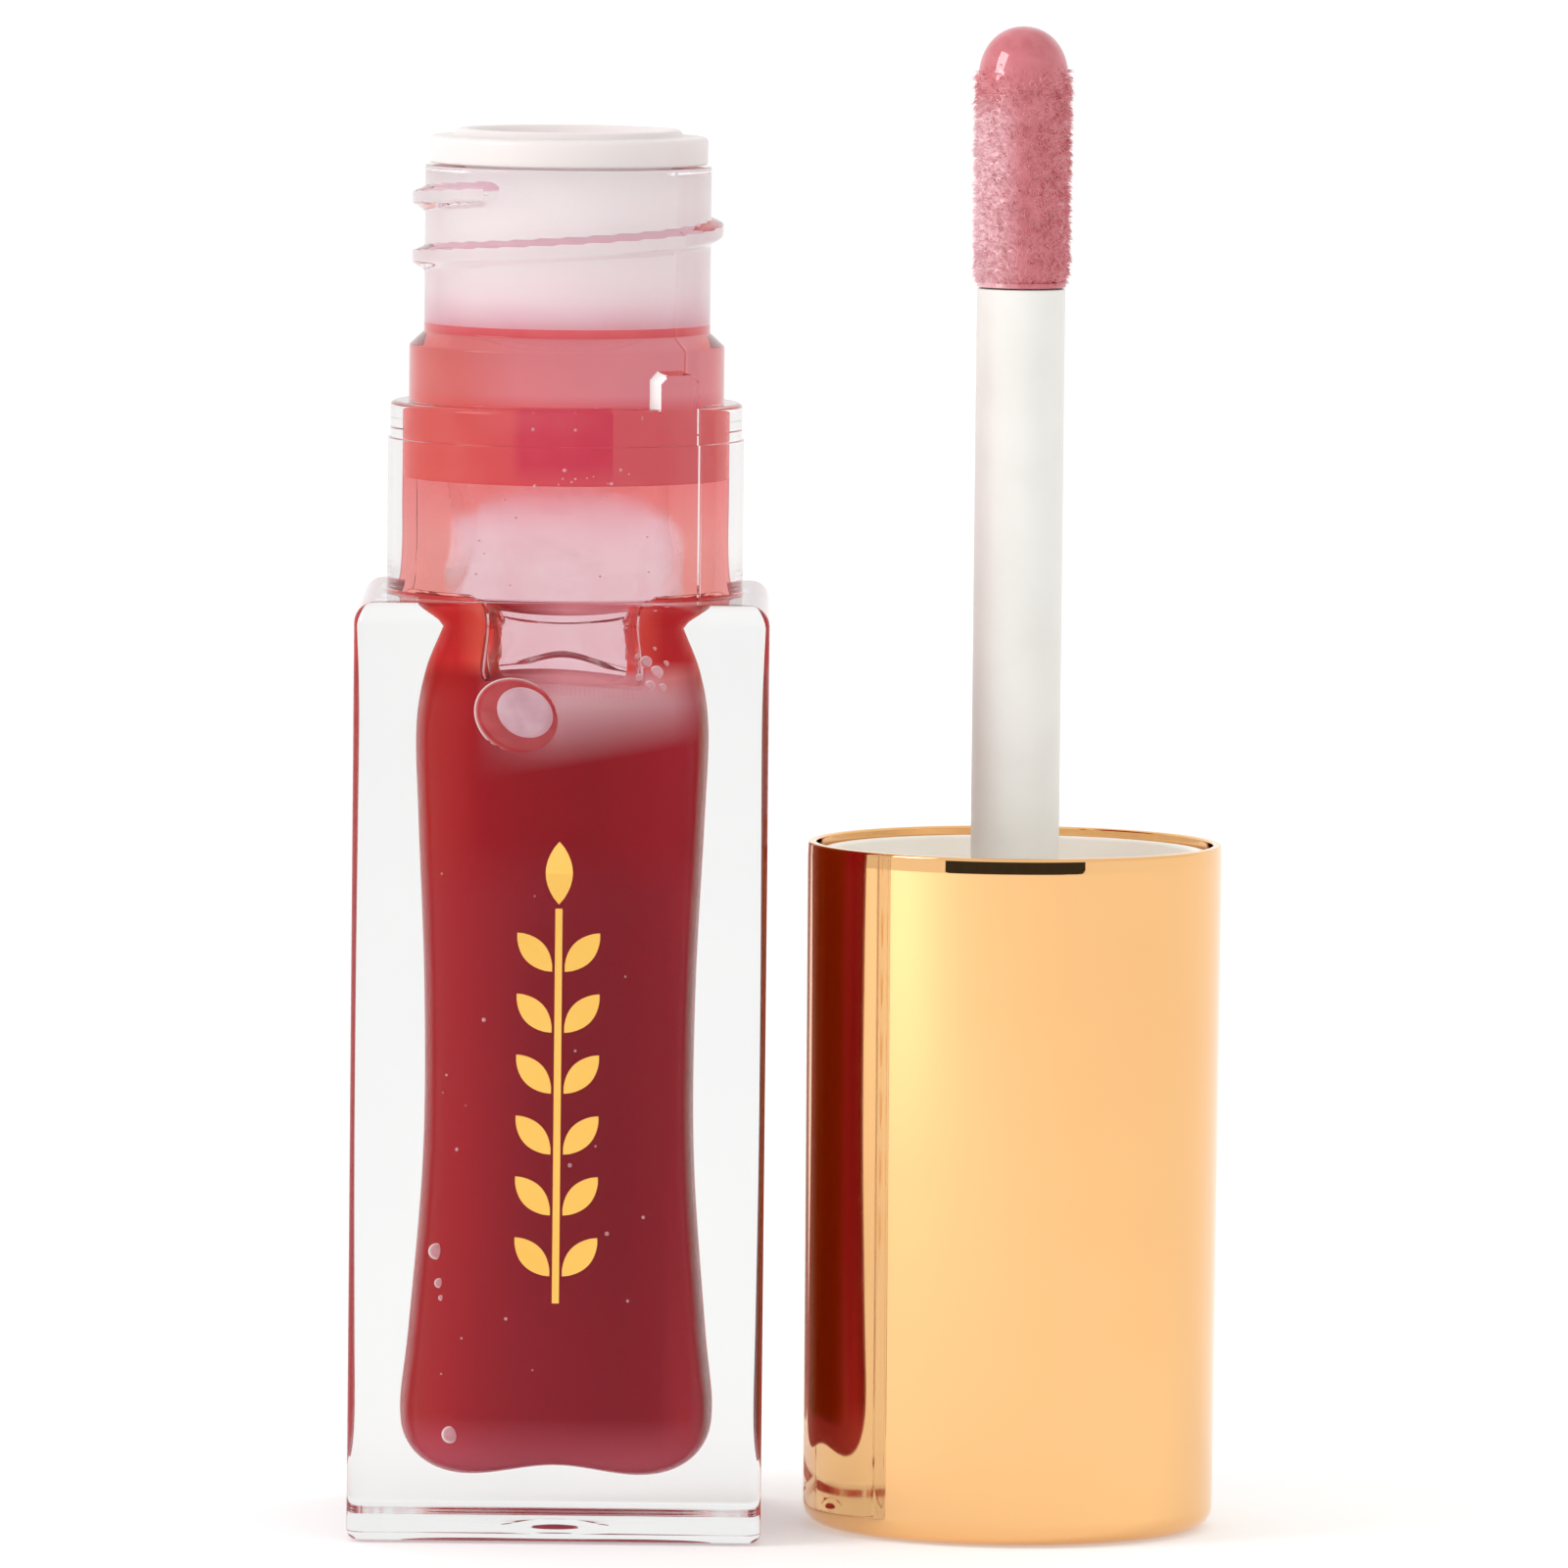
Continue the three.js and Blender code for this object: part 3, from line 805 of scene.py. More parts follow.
def plain_wire():
    """The little steel pin inside the tip."""
    material, tree, shader, place = new_material("plain_wire")
    cloud = noise_value(tree, place, 2500, 3.0, (1.0, 1.0, 0.1))
    tint = two_tone(tree, cloud, (0.62, 0.62, 0.63), (0.75, 0.75, 0.76))
    paint(tree, shader, tint, cloud, 0.25, 0.4)
    shader.inputs["Metallic"].default_value = 1.0
    return material


# ---- Bottle ----


def column_angles():
    """Angles of the bottle's columns of faces: even on the flats, close together round the
    block's corners, on the seams and on the lug's sides."""
    flat_steps = 40 if FINE else 20
    corner_steps = 6 if FINE else 3
    angles = []
    for side in range(4):
        middle = side * math.pi / 2
        for i in range(flat_steps + 1):
            angles.append(middle + FLAT_ANGLE * (2 * i / flat_steps - 1))
        corner = math.pi / 2 - 2 * FLAT_ANGLE
        for i in range(1, 2 * corner_steps):
            angles.append(middle + FLAT_ANGLE + corner * i / (2 * corner_steps))
    lug_side = LUG_HALF_WIDTH / SLIM_BOSS
    inwards = [-0.006, 0.006, 0.018, 0.030, 0.042, 0.054, 0.066]
    exact = [LUG_ANGLE + sign * (lug_side - off) for sign in (-1, 1) for off in inwards]
    for seam in SEAM_ANGLES:
        exact += [seam + off for off in (-0.018, -0.006, 0.006, 0.018)]
    exact = sorted(a % FULL_TURN for a in exact)
    apart = 0.006
    kept = [a for a in angles if all(abs(turn_between(a, e)) > apart for e in exact)]
    return sorted({a % FULL_TURN for a in kept} | set(exact))


COLUMNS = column_angles()


def block_point(angle, inset):
    """Point of the block's rounded square outline, drawn inwards by inset."""
    side = round(angle / (math.pi / 2))
    lean = angle - side * math.pi / 2
    radius = max(BLOCK_CORNER - inset, 0.02)
    centre = HALF_SIDE - inset - radius
    if abs(lean) <= FLAT_ANGLE:
        out = HALF_SIDE - inset
        across = centre * math.tan(lean) / math.tan(FLAT_ANGLE)
    else:
        turn = (abs(lean) - FLAT_ANGLE) / (math.pi / 4 - FLAT_ANGLE) * math.pi / 4
        out = centre + radius * math.cos(turn)
        across = math.copysign(centre + radius * math.sin(turn), lean)
    c, s = math.cos(side * math.pi / 2), math.sin(side * math.pi / 2)
    return out * c - across * s, out * s + across * c


def block_rings():
    """Base, sides and top of the block, up to the foot of the boss."""
    rings = [[(0.0, 0.0, PUNT_DEPTH)]]
    for i in range(1, 9):
        radius = PUNT_RADIUS * i / 8
        rise = PUNT_DEPTH * (1 - smoothstep(0.3, 1.0, i / 8))
        rings.append([polar(radius, a, rise) for a in COLUMNS])
    for share in (0.7, 0.985):
        points = [block_point(a, BASE_EDGE) for a in COLUMNS]
        rings.append([(x * share, y * share, 0.0) for x, y in points])
    walls = [(0.0, z) for z in (BASE_EDGE + 0.05, 15.0, 30.0, BLOCK_TOP - BLOCK_EDGE - 0.05)]
    top = [(inset, BLOCK_TOP - z) for inset, z in reversed(quarter_round(BLOCK_EDGE))]
    for inset, z in quarter_round(BASE_EDGE) + walls + top:
        rings.append([(*block_point(a, inset), z) for a in COLUMNS])
    return rings


def quarter_round(radius, steps=7):
    """(inset, height) points of a rounded edge, from the flat below it to the side."""
    turns = [math.pi / 2 * i / steps for i in range(steps + 1)]
    return [(radius * (1 - math.sin(t)), radius * (1 - math.cos(t))) for t in turns]


def thread_relief(angle, z):
    """How far the thread stands out at a place on the neck. Its ends are round and blunt."""
    best = 0.0
    for turn in range(-2, 2):
        behind = (THREAD_END_ANGLE - angle) / FULL_TURN + turn
        crest = THREAD_END_Z - THREAD_PITCH * behind
        off = z - crest
        over = max(-behind, behind - THREAD_TURNS) * FULL_TURN * NECK_RADIUS
        end = max(0.0, over + THREAD_HALF_WIDTH)
        flank = THREAD_UPPER_FLANK if off > 0 else THREAD_LOWER_FLANK
        inside = THREAD_HALF_WIDTH - math.hypot(off, end)
        best = max(best, THREAD_HEIGHT * smoothstep(0.0, flank, inside))
    return best


def past_lug(angle):
    """Distance round the boss from the middle of the stop lug."""
    return turn_between(angle, LUG_ANGLE) * SLIM_BOSS


def lug_share(angle, z):
    """1 on the stop lug, 0 off it."""
    side = LUG_HALF_WIDTH - abs(past_lug(angle))
    above = BOSS_TOP + LUG_HEIGHT - z
    chamfer = (side + above - LUG_CHAMFER) / math.sqrt(2)
    return smoothstep(-0.045, 0.045, min(side, above, chamfer))


def on_lug_side(face):
    """Whether a face is one of the lug's sides or chamfers, which catch the light and are given a
    painted reflection.
    """
    point = face.calc_center_median() / MM
    across = past_lug(math.atan2(point.y, point.x))
    near = -LUG_HALF_WIDTH - 0.1 < across < LUG_CHAMFER - LUG_HALF_WIDTH + 0.1
    high = BOSS_TOP + 0.03 < point.z < BOSS_TOP + LUG_HEIGHT + 0.1
    outwards = Vector((point.x, point.y, 0.0)).normalized()
    return near and high and face.normal.dot(outwards) < 0.75


def seam_relief(angle):
    """The fine ridge left by the mould's parting line."""
    nearest = min(abs(turn_between(angle, s)) for s in SEAM_ANGLES)
    return SEAM_HEIGHT * (1 - smoothstep(0.004, 0.016, nearest))


def finish_rings():
    """Outside of the boss, collar and threaded neck, over the rim into the bore."""
    profile = rounded([
        (BOSS_RADIUS + 0.22, BLOCK_TOP, 0),
        (BOSS_RADIUS, BLOCK_TOP, 0.12),
        (BOSS_RADIUS, BOSS_TOP - BAND_HEIGHT, 0.04),
        (SLIM_BOSS, BOSS_TOP - BAND_HEIGHT, 0.04),
        (SLIM_BOSS, BOSS_TOP, 0.25),
        (COLLAR_RADIUS, BOSS_TOP, 0.08),
        (COLLAR_RADIUS, COLLAR_TOP - COLLAR_CHAMFER, 0.15),
        (NECK_RADIUS, COLLAR_TOP, 0.15),
        (NECK_RADIUS, NECK_TOP, 0.12),
        (BORE_RADIUS, NECK_TOP, 0.12),
        (BORE_RADIUS, NECK_TOP - 0.3, 0),
    ], steps=3)
    outside = [p for p in profile if p[0] > BORE_RADIUS + 0.5]
    bend = [p for p in profile if p[0] <= BORE_RADIUS + 0.5]
    outside = refined(outside, BOSS_TOP, BOSS_TOP + LUG_HEIGHT + 0.3, 0.09)
    outside = refined(outside, COLLAR_TOP, NECK_TOP - 0.3, 0.085 if FINE else 0.3)
    rings = []
    lift = 0.0
    for radius, z in outside:
        on_top = BOSS_TOP - 0.02 < z < BOSS_TOP + 0.2 and radius < SLIM_BOSS
        lift += 0.004 if on_top else 0.0
        ring = []
        for angle in COLUMNS:
            out, height = radius, z
            if NECK_RADIUS - 0.01 < radius < NECK_RADIUS + 0.01 and z > COLLAR_TOP:
                out += thread_relief(angle, z)
            if z > BOSS_TOP - 0.26:
                share = lug_share(angle, z)
                out = lerp(out, max(out, SLIM_BOSS), share)
                height += lift * share if on_top else 0.0
            if z < NECK_TOP - 0.2:
                out += seam_relief(angle)
            ring.append(polar(out, angle, height))
        rings.append(ring)
    for radius, z in bend:
        rings.append([polar(radius, a, z) for a in COLUMNS])
    return rings


def chamber_reach(angle, z):
    """How much further out the soft square chamber reaches at an angle than at its flats."""
    power = lerp(SQUARENESS, 2.0, smoothstep(SQUARE_BELOW, ROUND_ABOVE, z))
    total = abs(math.cos(angle)) ** power + abs(math.sin(angle)) ** power
    return total ** (-1 / power)


def chamber_ring(radius, z, inset=0.0, columns=None):
    """Points round the chamber's wall at a height, drawn inwards by inset."""
    if radius < 1e-6:
        return [(0.0, 0.0, z)]
    ring = []
    for angle in columns or COLUMNS:
        out = radius * chamber_reach(angle, z) - inset
        rise = FLOOR_WAVE * math.cos(2 * angle) ** 2 * smoothstep(8.0, 3.0, z)
        rise *= smoothstep(1.0, 5.0, radius)
        ring.append(polar(out, angle, z + rise))
    return ring


def chamber_profile():
    return spline(CHAMBER, 182 if FINE else 42)


def make_bottle():
    outside = block_rings() + finish_rings()
    bore = [(BORE_RADIUS, lerp(NECK_TOP - 0.6, CHAMBER[-1][1] + 0.5, i / 8)) for i in range(9)]
    inside = [chamber_ring(r, z) for r, z in bore + chamber_profile()[::-1]]
    bm = skin(outside + inside)
    row = bm.faces.layers.int["row"]
    for face in bm.faces:
        if face[row] >= len(outside) - 1:
            face.material_index = 1
        elif on_lug_side(face):
            # The lug's sides and chamfers get the painted reflection of the light.
            face.material_index = 2
    return add_piece(
        "bottle_clear",
        bm,
        "bottle",
        [clear_plastic(), wetted_wall(), lug_painted_reflection()],
        ["bottle"],
    )


# ---- Gloss ----


def big_bubble(x, z):
    """Distance from the middle of the large flattened bubble, as a share of its size."""
    dx, dz = x - BIG_BUBBLE[0], z - BIG_BUBBLE[1]
    c, s = math.cos(BIG_BUBBLE_LEAN), math.sin(BIG_BUBBLE_LEAN)
    return math.hypot((dx * c - dz * s) / 2.1, (dx * s + dz * c) / 1.7)


def surface_height(angle):
    """Height at which the gloss meets the wall. It clings to the shoulder on both sides."""
    level = GLOSS_LEVEL + 0.35 * math.sin(angle - 0.6) - 0.25 * math.cos(2 * angle + 0.4)
    start = FRONT_CLIMB if math.sin(angle) < 0 else BACK_CLIMB
    return lerp(level, CLIMB_TOP, smoothstep(start, start + 0.2, abs(math.cos(angle))))


def gloss_wall(columns):
    """Rings of the gloss up the chamber's wall, to a little below its surface."""
    foot = CHAMBER[2][1]
    wall = refined([p for p in chamber_profile() if p[1] < 40.0], 35.0, 41.0, 0.3)
    rings = []
    for radius, z in wall:
        lift = WET_GAP * (1 - smoothstep(foot + 1, foot + 3, z))
        rings.append(chamber_ring(radius, z + lift, WET_GAP if radius > 0.1 else 0.0, columns))
    return rings


def gloss_climb(start, columns, rows=16):
    """Rings from the last one of the wall to where the surface meets the wall."""
    radius_at = chamber_top_radius()
    rings = []
    for step in range(1, rows + 1):
        ring = []
        for (_, _, z), angle in zip(start, columns):
            height = lerp(z, surface_height(angle), step / rows)
            out = radius_at(height) * chamber_reach(angle, height) - WET_GAP
            ring.append(polar(out, angle, height))
        rings.append(ring)
    return rings


def gloss_surface(edge):
    """Rings of the surface, from its edge at the wall to its middle, which sags."""
    rings = []
    for share in (0.97, 0.92, 0.84, 0.7, 0.5, 0.25):
        sink = SURFACE_SAG * (1 - share**6) * smoothstep(1.0, 0.8, share)
        level = [lerp(GLOSS_LEVEL, p[2], share**CLIMB_HUG) - sink for p in edge]
        rings.append([(x * share, y * share, h) for (x, y, _), h in zip(edge, level)])
    rings.append([(0.0, 0.0, GLOSS_LEVEL - SURFACE_SAG)])
    return rings


def make_gloss():
    """The body of gloss. The large bubble presses a dimple into its front."""
    columns = [FULL_TURN * i / 240 for i in range(240)]
    rings = gloss_wall(columns)
    rings += gloss_climb(rings[-1], columns)
    rings += gloss_surface(rings[-1])
    bm = skin(rings)
    for vertex in bm.verts:
        x, y, z = (c / MM for c in vertex.co)
        if y < -3.0 and z > 35.0:
            near = big_bubble(x, z)
            vertex.co.y += 0.45 * max(0.0, 1 - near * near) ** 0.5 * MM
    return add_piece("gloss_body", bm, "bottle", [gloss_liquid()], ["gloss"])


def chamber_top_radius():
    """Radius of the chamber's flats as a function of height, above its widest part."""
    upper = [p for p in spline(CHAMBER, 1200) if p[1] > 36.0]

    def radius(z):
        for (r0, z0), (r1, z1) in zip(upper, upper[1:]):
            if z0 <= z <= z1:
                return lerp(r0, r1, (z - z0) / (z1 - z0))
        return upper[-1][0]

    return radius


def make_film():
    """The film that clings to the wall above the gloss, with sagging waves and dents. Its rows
    lie closer together low down, where the shoulder bends."""
    columns = [FULL_TURN * i / 192 for i in range(192)]
    radius_at = chamber_top_radius()
    heights = [(i / FILM_ROWS) ** FILM_CROWDING for i in range(FILM_ROWS + 1)]
    outer, inner = [], []
    for share in heights:
        out_ring, in_ring = [], []
        for angle in columns:
            z = lerp(surface_height(angle) - 0.5, FILM_TOP, share)
            wall = radius_at(z) * chamber_reach(angle, z)
            wave = noise.noise(Vector((2.2 * math.cos(angle), 2.2 * math.sin(angle), z * 0.28)))
            wave = max(0.0, wave) * smoothstep(43.0, 45.5, z)
            foot = 0.5 * (1 - smoothstep(0.0, 0.14, share))
            thick = FILM_THICKNESS + 0.16 * wave + foot
            out_ring.append(polar(wall - WET_GAP, angle, z))
            in_ring.append(polar(wall - thick, angle, z))
        outer.append(out_ring)
        inner.append(in_ring)
    bm = skin(outer + inner[::-1], closed=True)
    row = bm.faces.layers.int["row"]
    for face in bm.faces:
        if face[row] >= len(outer):
            face.material_index = 1
    sides = [
        film_side("film_outside", (0.99, 0.90, 0.90), (1.0, 0.96, 0.96), 1.0),
        film_side("film_inside", (0.99, 0.88, 0.88), (1.0, 0.95, 0.95), FILM_IOR),
    ]
    return add_piece("gloss_film", bm, "bottle", sides, sharp=60)


def make_plug():
    """Gloss trapped round the wiper's cone."""
    out = BORE_RADIUS - WET_GAP / 2
    profile = rounded([
        (THROAT_BORE + THROAT_WALL + 0.3, PLUG_BOTTOM + 1.1, 0.3),
        (out - 0.25, PLUG_BOTTOM + 0.5, 0.5),
        (out - 0.15, PLUG_BOTTOM, 0.05),
        (out, PLUG_BOTTOM, 0.02),
        (out, PLUG_TOP, 0.02),
        (out - 0.1, PLUG_TOP, 0.02),
        (THROAT_BORE + THROAT_WALL + 0.3, PLUG_BOTTOM + 3.5, 0.3),
    ], closed=True)
    profile = refined(profile, PLUG_BOTTOM, PLUG_TOP, 0.6)
    bm = skin(turned_rings(profile, 128), closed=True)
    return add_piece("gloss_plug", bm, "bottle", [gloss_plug()])


def small_bubbles():
    """Places (x, z) and radius of the small bubbles against the front wall."""
    rng = random.Random(BUBBLE_SEED)
    places = [(-5.0, 4.9, 0.42), (-5.75, 13.6, 0.40), (-5.6, 12.1, 0.24), (-5.5, 11.4, 0.14)]
    places += [(4.0, 42.0, 0.30), (4.5, 41.5, 0.34), (4.2, 40.9, 0.26), (4.8, 40.8, 0.20)]
    places += [(3.7, 41.3, 0.17), (4.95, 41.9, 0.15), (3.6, 42.3, 0.12), (4.4, 42.6, 0.10)]
    for _ in range(22):
        places.append((rng.uniform(-6.2, 5.6), rng.uniform(6.0, 36.0), rng.uniform(0.03, 0.10)))
    for _ in range(16):
        places.append((rng.uniform(-4.5, 4.5), rng.uniform(45.5, 54.0), rng.uniform(0.03, 0.07)))
    for _ in range(12):
        places.append((rng.uniform(-0.4, 3.0), rng.uniform(50.4, 51.2), rng.uniform(0.03, 0.08)))
    return places


def wall_front(x, z, radius_at):
    """How far in front of the axis the wall of the chamber or bore is, at a place."""
    radius = radius_at(z) if z > 36.0 else lower_radius(z)
    power = lerp(SQUARENESS, 2.0, smoothstep(SQUARE_BELOW, ROUND_ABOVE, z))
    return radius * max(0.01, 1 - abs(x / radius) ** power) ** (1 / power)


def lower_radius(z):
    """Radius of the chamber's flats below its shoulder."""
    lower = [p for p in chamber_profile() if p[1] < 37.0 and p[0] > 5.6]
    return min(lower, key=lambda p: abs(p[1] - z))[0]


def add_bubble(bm, x, y, z, size, lean=0.0, material=0):
    """Adds one ellipsoid of half sizes (across, deep, high), leaning sideways."""
    sides = 64 if max(size) > 1.0 else 20
    place = Matrix.Translation(Vector((x, y, z)) * MM)
    turn = Matrix.Rotation(lean, 4, "Y")
    shape = Matrix.Diagonal((*(Vector(size) * MM), 1.0))
    made = bmesh.ops.create_uvsphere(
        bm, u_segments=sides, v_segments=sides // 2, radius=1.0, matrix=place @ turn @ shape
    )
    for face in {face for vertex in made["verts"] for face in vertex.link_faces}:
        face.smooth = True
        face.material_index = material


def make_bubbles():
    """Air bubbles pressed flat against the front wall. The large one has a smaller one in it."""
    radius_at = chamber_top_radius()
    bm = bmesh.new()
    for x, z, radius in small_bubbles():
        y = 0.1 * radius - wall_front(x, z, radius_at)
        add_bubble(bm, x, y, z, (radius, 0.6 * radius, radius))
    x, z = BIG_BUBBLE
    y = 0.30 - wall_front(x, z, radius_at)
    add_bubble(bm, x, y, z, BIG_BUBBLE_SIZE, BIG_BUBBLE_LEAN, 1)
    add_bubble(bm, x + 0.2, y - 0.12, z + 0.16, INNER_BUBBLE_SIZE, BIG_BUBBLE_LEAN, 2)
    # Each skin is painted light, with a highlight rim and a glow; the pale pink middle of the
    # inner bubble is painted light too.
    skins = [
        bubble_skin("bubble_small", (0.66, 0.26, 0.30), (0.80, 0.42, 0.46)),
        bubble_skin("bubble_ring", (0.50, 0.03, 0.04), (0.60, 0.06, 0.07)),
        bubble_skin("bubble_pink", (0.72, 0.40, 0.48), (0.84, 0.56, 0.62)),
    ]
    return add_piece("gloss_bubbles", bm, "bottle", skins, sharp=80)


# ---- Wiper ----


def make_wiper():
    under = NECK_TOP + 0.1
    sleeve = BORE_RADIUS - WET_GAP
    inner_cone = THROAT_END + THROAT_LENGTH
    outer_cone = inner_cone - 0.9
    lip = SLEEVE_BORE + 1.0
    profile = rounded([
        (THROAT_BORE, THROAT_END, 0.12),
        (THROAT_BORE + THROAT_WALL, THROAT_END, 0.2),
        (THROAT_BORE + THROAT_WALL + 0.2, outer_cone, 1.0),
        (sleeve - 0.14, outer_cone + WIPER_CONE, 0.6),
        (sleeve, outer_cone + WIPER_CONE + 0.6, 0.3),
        (sleeve, under, 0.05),
        (FLANGE_RADIUS, under, 0.1),
        (FLANGE_RADIUS, LIP_TOP - 0.35, 0.22),
        (lip + 0.35, LIP_TOP - 0.32, 0.25),
        (lip + 0.12, LIP_TOP, 0.2),
        (lip - 0.35, LIP_TOP, 0.3),
        (SLEEVE_BORE, LIP_TOP - 0.9, 0.6),
        (SLEEVE_BORE, inner_cone + WIPER_CONE, 1.2),
        (THROAT_BORE, inner_cone, 0.8),
    ], closed=True)
    profile = refined(profile, THROAT_END, LIP_TOP, 0.7)
    bm = skin(turned_rings(profile, 160), closed=True)
    return add_piece("wiper_insert", bm, "bottle", [milky_plastic()], ["wiper"])


# ---- Foil ornament ----


def leaf_outline(length, width, steps=10):
    """A pointed leaf lying along +X from the origin: two arcs."""
    upper = []
    for i in range(steps + 1):
        t = i / steps
        upper.append((length * t, width / 2 * math.sin(math.pi * t) ** 0.8))
    lower = [(x, -y) for x, y in upper[-2:0:-1]]
    return upper + lower


def add_foil(bm, outline, move, turn):
    """Adds one flat foil shape, given as (x, z), on the bottle's front face."""
    front = -HALF_SIDE - 0.002
    back = -HALF_SIDE + 0.004
    c, s = math.cos(turn), math.sin(turn)
    placed = [(move[0] + x * c - z * s, move[1] + x * s + z * c) for x, z in outline]
    near = [bm.verts.new(Vector((x, front - FOIL_THICKNESS, z)) * MM) for x, z in placed]
    far = [bm.verts.new(Vector((x, back, z)) * MM) for x, z in placed]
    bm.faces.new(near)
    bm.faces.new(far[::-1])
    for i in range(len(near)):
        j = (i + 1) % len(near)
        bm.faces.new([near[i], near[j], far[j], far[i]])


def make_foil():
    """A leafy sprig in gold foil, a plain ornament up the middle of the front face."""
    bm = bmesh.new()
    foot = FOIL_MIDDLE_Z - FOIL_HALF_LENGTH
    top = FOIL_MIDDLE_Z + FOIL_HALF_LENGTH
    corners = ((-1, 0), (1, 0), (1, 1), (-1, 1))
    stalk = [(STALK_HALF_WIDTH * x, STALK_LENGTH * z) for x, z in corners]
    add_foil(bm, stalk, (0.0, foot), 0.0)
    spacing = 17.5 / LEAF_PAIRS
    for i in range(LEAF_PAIRS):
        z = foot + 1.3 + spacing * i
        for side in (-1, 1):
            leaf = leaf_outline(LEAF_LENGTH, LEAF_WIDTH)
            add_foil(bm, leaf, (side * 0.30, z), math.pi / 2 - side * LEAF_LEAN)
    leaf = leaf_outline(TOP_LEAF_LENGTH, TOP_LEAF_WIDTH)
    add_foil(bm, leaf, (0.0, top - TOP_LEAF_LENGTH + 0.3), math.pi / 2)
    bmesh.ops.recalc_face_normals(bm, faces=bm.faces)
    foil = rose_gold("gold_foil", 0.22, (0.88, 0.50, 0.11), (0.92, 0.56, 0.14))
    return add_piece("foil_sprig", bm, "bottle", [foil])


# ---- Cap ----


def make_shell():
    foot_radius = CAP_RADIUS - CAP_TAPER
    inner_edge = CAP_EDGE - SHELL
    profile = rounded([
        (0.0, SHELL, 0),
        (foot_radius - SHELL, SHELL, inner_edge),
        (CAP_RADIUS - SHELL, CAP_TOP - 0.6, 0.05),
        (CAP_RADIUS - SHELL, CAP_TOP, 0.1),
        (CAP_RADIUS - 0.03, CAP_TOP, 0.12),
        (CAP_RADIUS, CAP_TOP - 0.75, 0.1),
        (foot_radius, 0.0, CAP_EDGE),
        (0.0, 0.0, 0),
    ], steps=8)
    bm = skin(turned_rings(profile, 256, CAP_X))
    gold = rose_gold("rose_gold", 0.03, (0.865, 0.495, 0.215), (0.885, 0.52, 0.23))
    return add_piece("cap_shell", bm, "cap", [gold], ["overcap"])


def liner_thread_relief(angle, z):
    """How far the liner's thread stands in from its bore."""
    start = math.pi - THREAD_END_ANGLE + FULL_TURN * LINER_THREAD_DELAY
    best = 0.0
    for turn in range(-2, 3):
        behind = (start + angle) / FULL_TURN + turn
        closed_z = THREAD_END_Z - THREAD_PITCH * (0.5 + LINER_THREAD_DELAY + behind)
        crest = CAP_TOP + BLOCK_TOP + 0.3 - closed_z
        off = abs(z - crest)
        over = max(-behind, behind - LINER_THREAD_TURNS) * FULL_TURN * THREAD_BORE
        gone = math.hypot(off, max(0.0, over)) / LINER_THREAD_HALF_WIDTH
        if gone < 1:
            best = max(best, THREAD_HEIGHT * (1 - gone * gone) ** 0.6)
    return best


def make_liner():
    """Liner of the cap, with the thread that takes the bottle's neck."""
    ceiling = LINER_FOOT + LINER_CEILING
    lug_step = LINER_RIM - LUG_STEP_DEPTH
    socket = STEM_RADIUS + SOCKET_PLAY
    hollow = STEM_RADIUS - STEM_WALL + 0.1
    profile = rounded([
        (hollow, LINER_FOOT, 0.1),
        (TOWER_RADIUS, LINER_FOOT, 0.3),
        (TOWER_RADIUS, ceiling - 1.8, 0.3),
        (LINER_RADIUS, ceiling - 1.8, 0.3),
        (LINER_RADIUS, LINER_RIM, 0.12),
        (SKIRT_BORE, LINER_RIM, 0.15),
        (SKIRT_BORE, lug_step, 0.2),
        (SHOULDER_BORE, lug_step, 0.2),
        (SHOULDER_BORE, lug_step - 1.6, 0.05),
        (THREAD_BORE, lug_step - 1.8, 0.05),
        (THREAD_BORE, ceiling, 0.3),
        (3.5, ceiling, 0.2),
        (3.2, ceiling + 2.3, 0.2),
        (socket, ceiling + 2.3, 0.15),
        (socket, STEM_FOOT - 0.3, 0.1),
        (hollow, STEM_FOOT - 0.3, 0.1),
    ], closed=True, steps=4)
    profile = refined(profile, ceiling + 0.4, lug_step - 1.9, 0.25)
    rings = turned_rings(profile, 160, CAP_X)
    for ring, (radius, z) in zip(rings, profile):
        if abs(radius - THREAD_BORE) < 0.01 and len(ring) > 1:
            for i in range(len(ring)):
                angle = FULL_TURN * i / len(ring)
                out = radius - liner_thread_relief(angle, z)
                ring[i] = (CAP_X + out * math.cos(angle), out * math.sin(angle), z)
    bm = skin(rings, closed=True)
    # The liner glows a little: painted light that lifts the shade inside the cap.
    cream = cream_plastic("cream_plastic", (0.93, 0.90, 0.83), (0.86, 0.82, 0.74), LINER_GLOW)
    return add_piece("cap_liner", bm, "cap", [cream], ["inner_cap"], sharp=45)


# ---- Wand ----


def make_stem():
    inner = STEM_RADIUS - STEM_WALL
    profile = rounded([
        (inner, STEM_FOOT, 0.05),
        (STEM_RADIUS, STEM_FOOT, 0.1),
        (STEM_RADIUS, STEM_END, 0.08),
        (inner, STEM_END, 0.05),
    ], closed=True)
    profile = refined(profile, STEM_FOOT, STEM_END, 6.0)
    bm = skin(turned_rings(profile, 96, CAP_X), closed=True)
    satin = cream_plastic("satin_white", (0.80, 0.785, 0.745), (0.75, 0.73, 0.69))
    return add_piece("wand_stem", bm, "wand", [satin], ["stem"])


def tip_radius(z):
    """Outside radius of the flocked pad at a height."""
    centre = TIP_END - TIP_DOME
    if z > centre:
        return TIP_RADIUS * math.sqrt(max(0.0, 1 - ((z - centre) / TIP_DOME) ** 2))
    foot = smoothstep(TIP_FOOT - 0.1, TIP_FOOT + 0.7, z)
    return TIP_RADIUS * lerp(0.93, 1.0, foot)


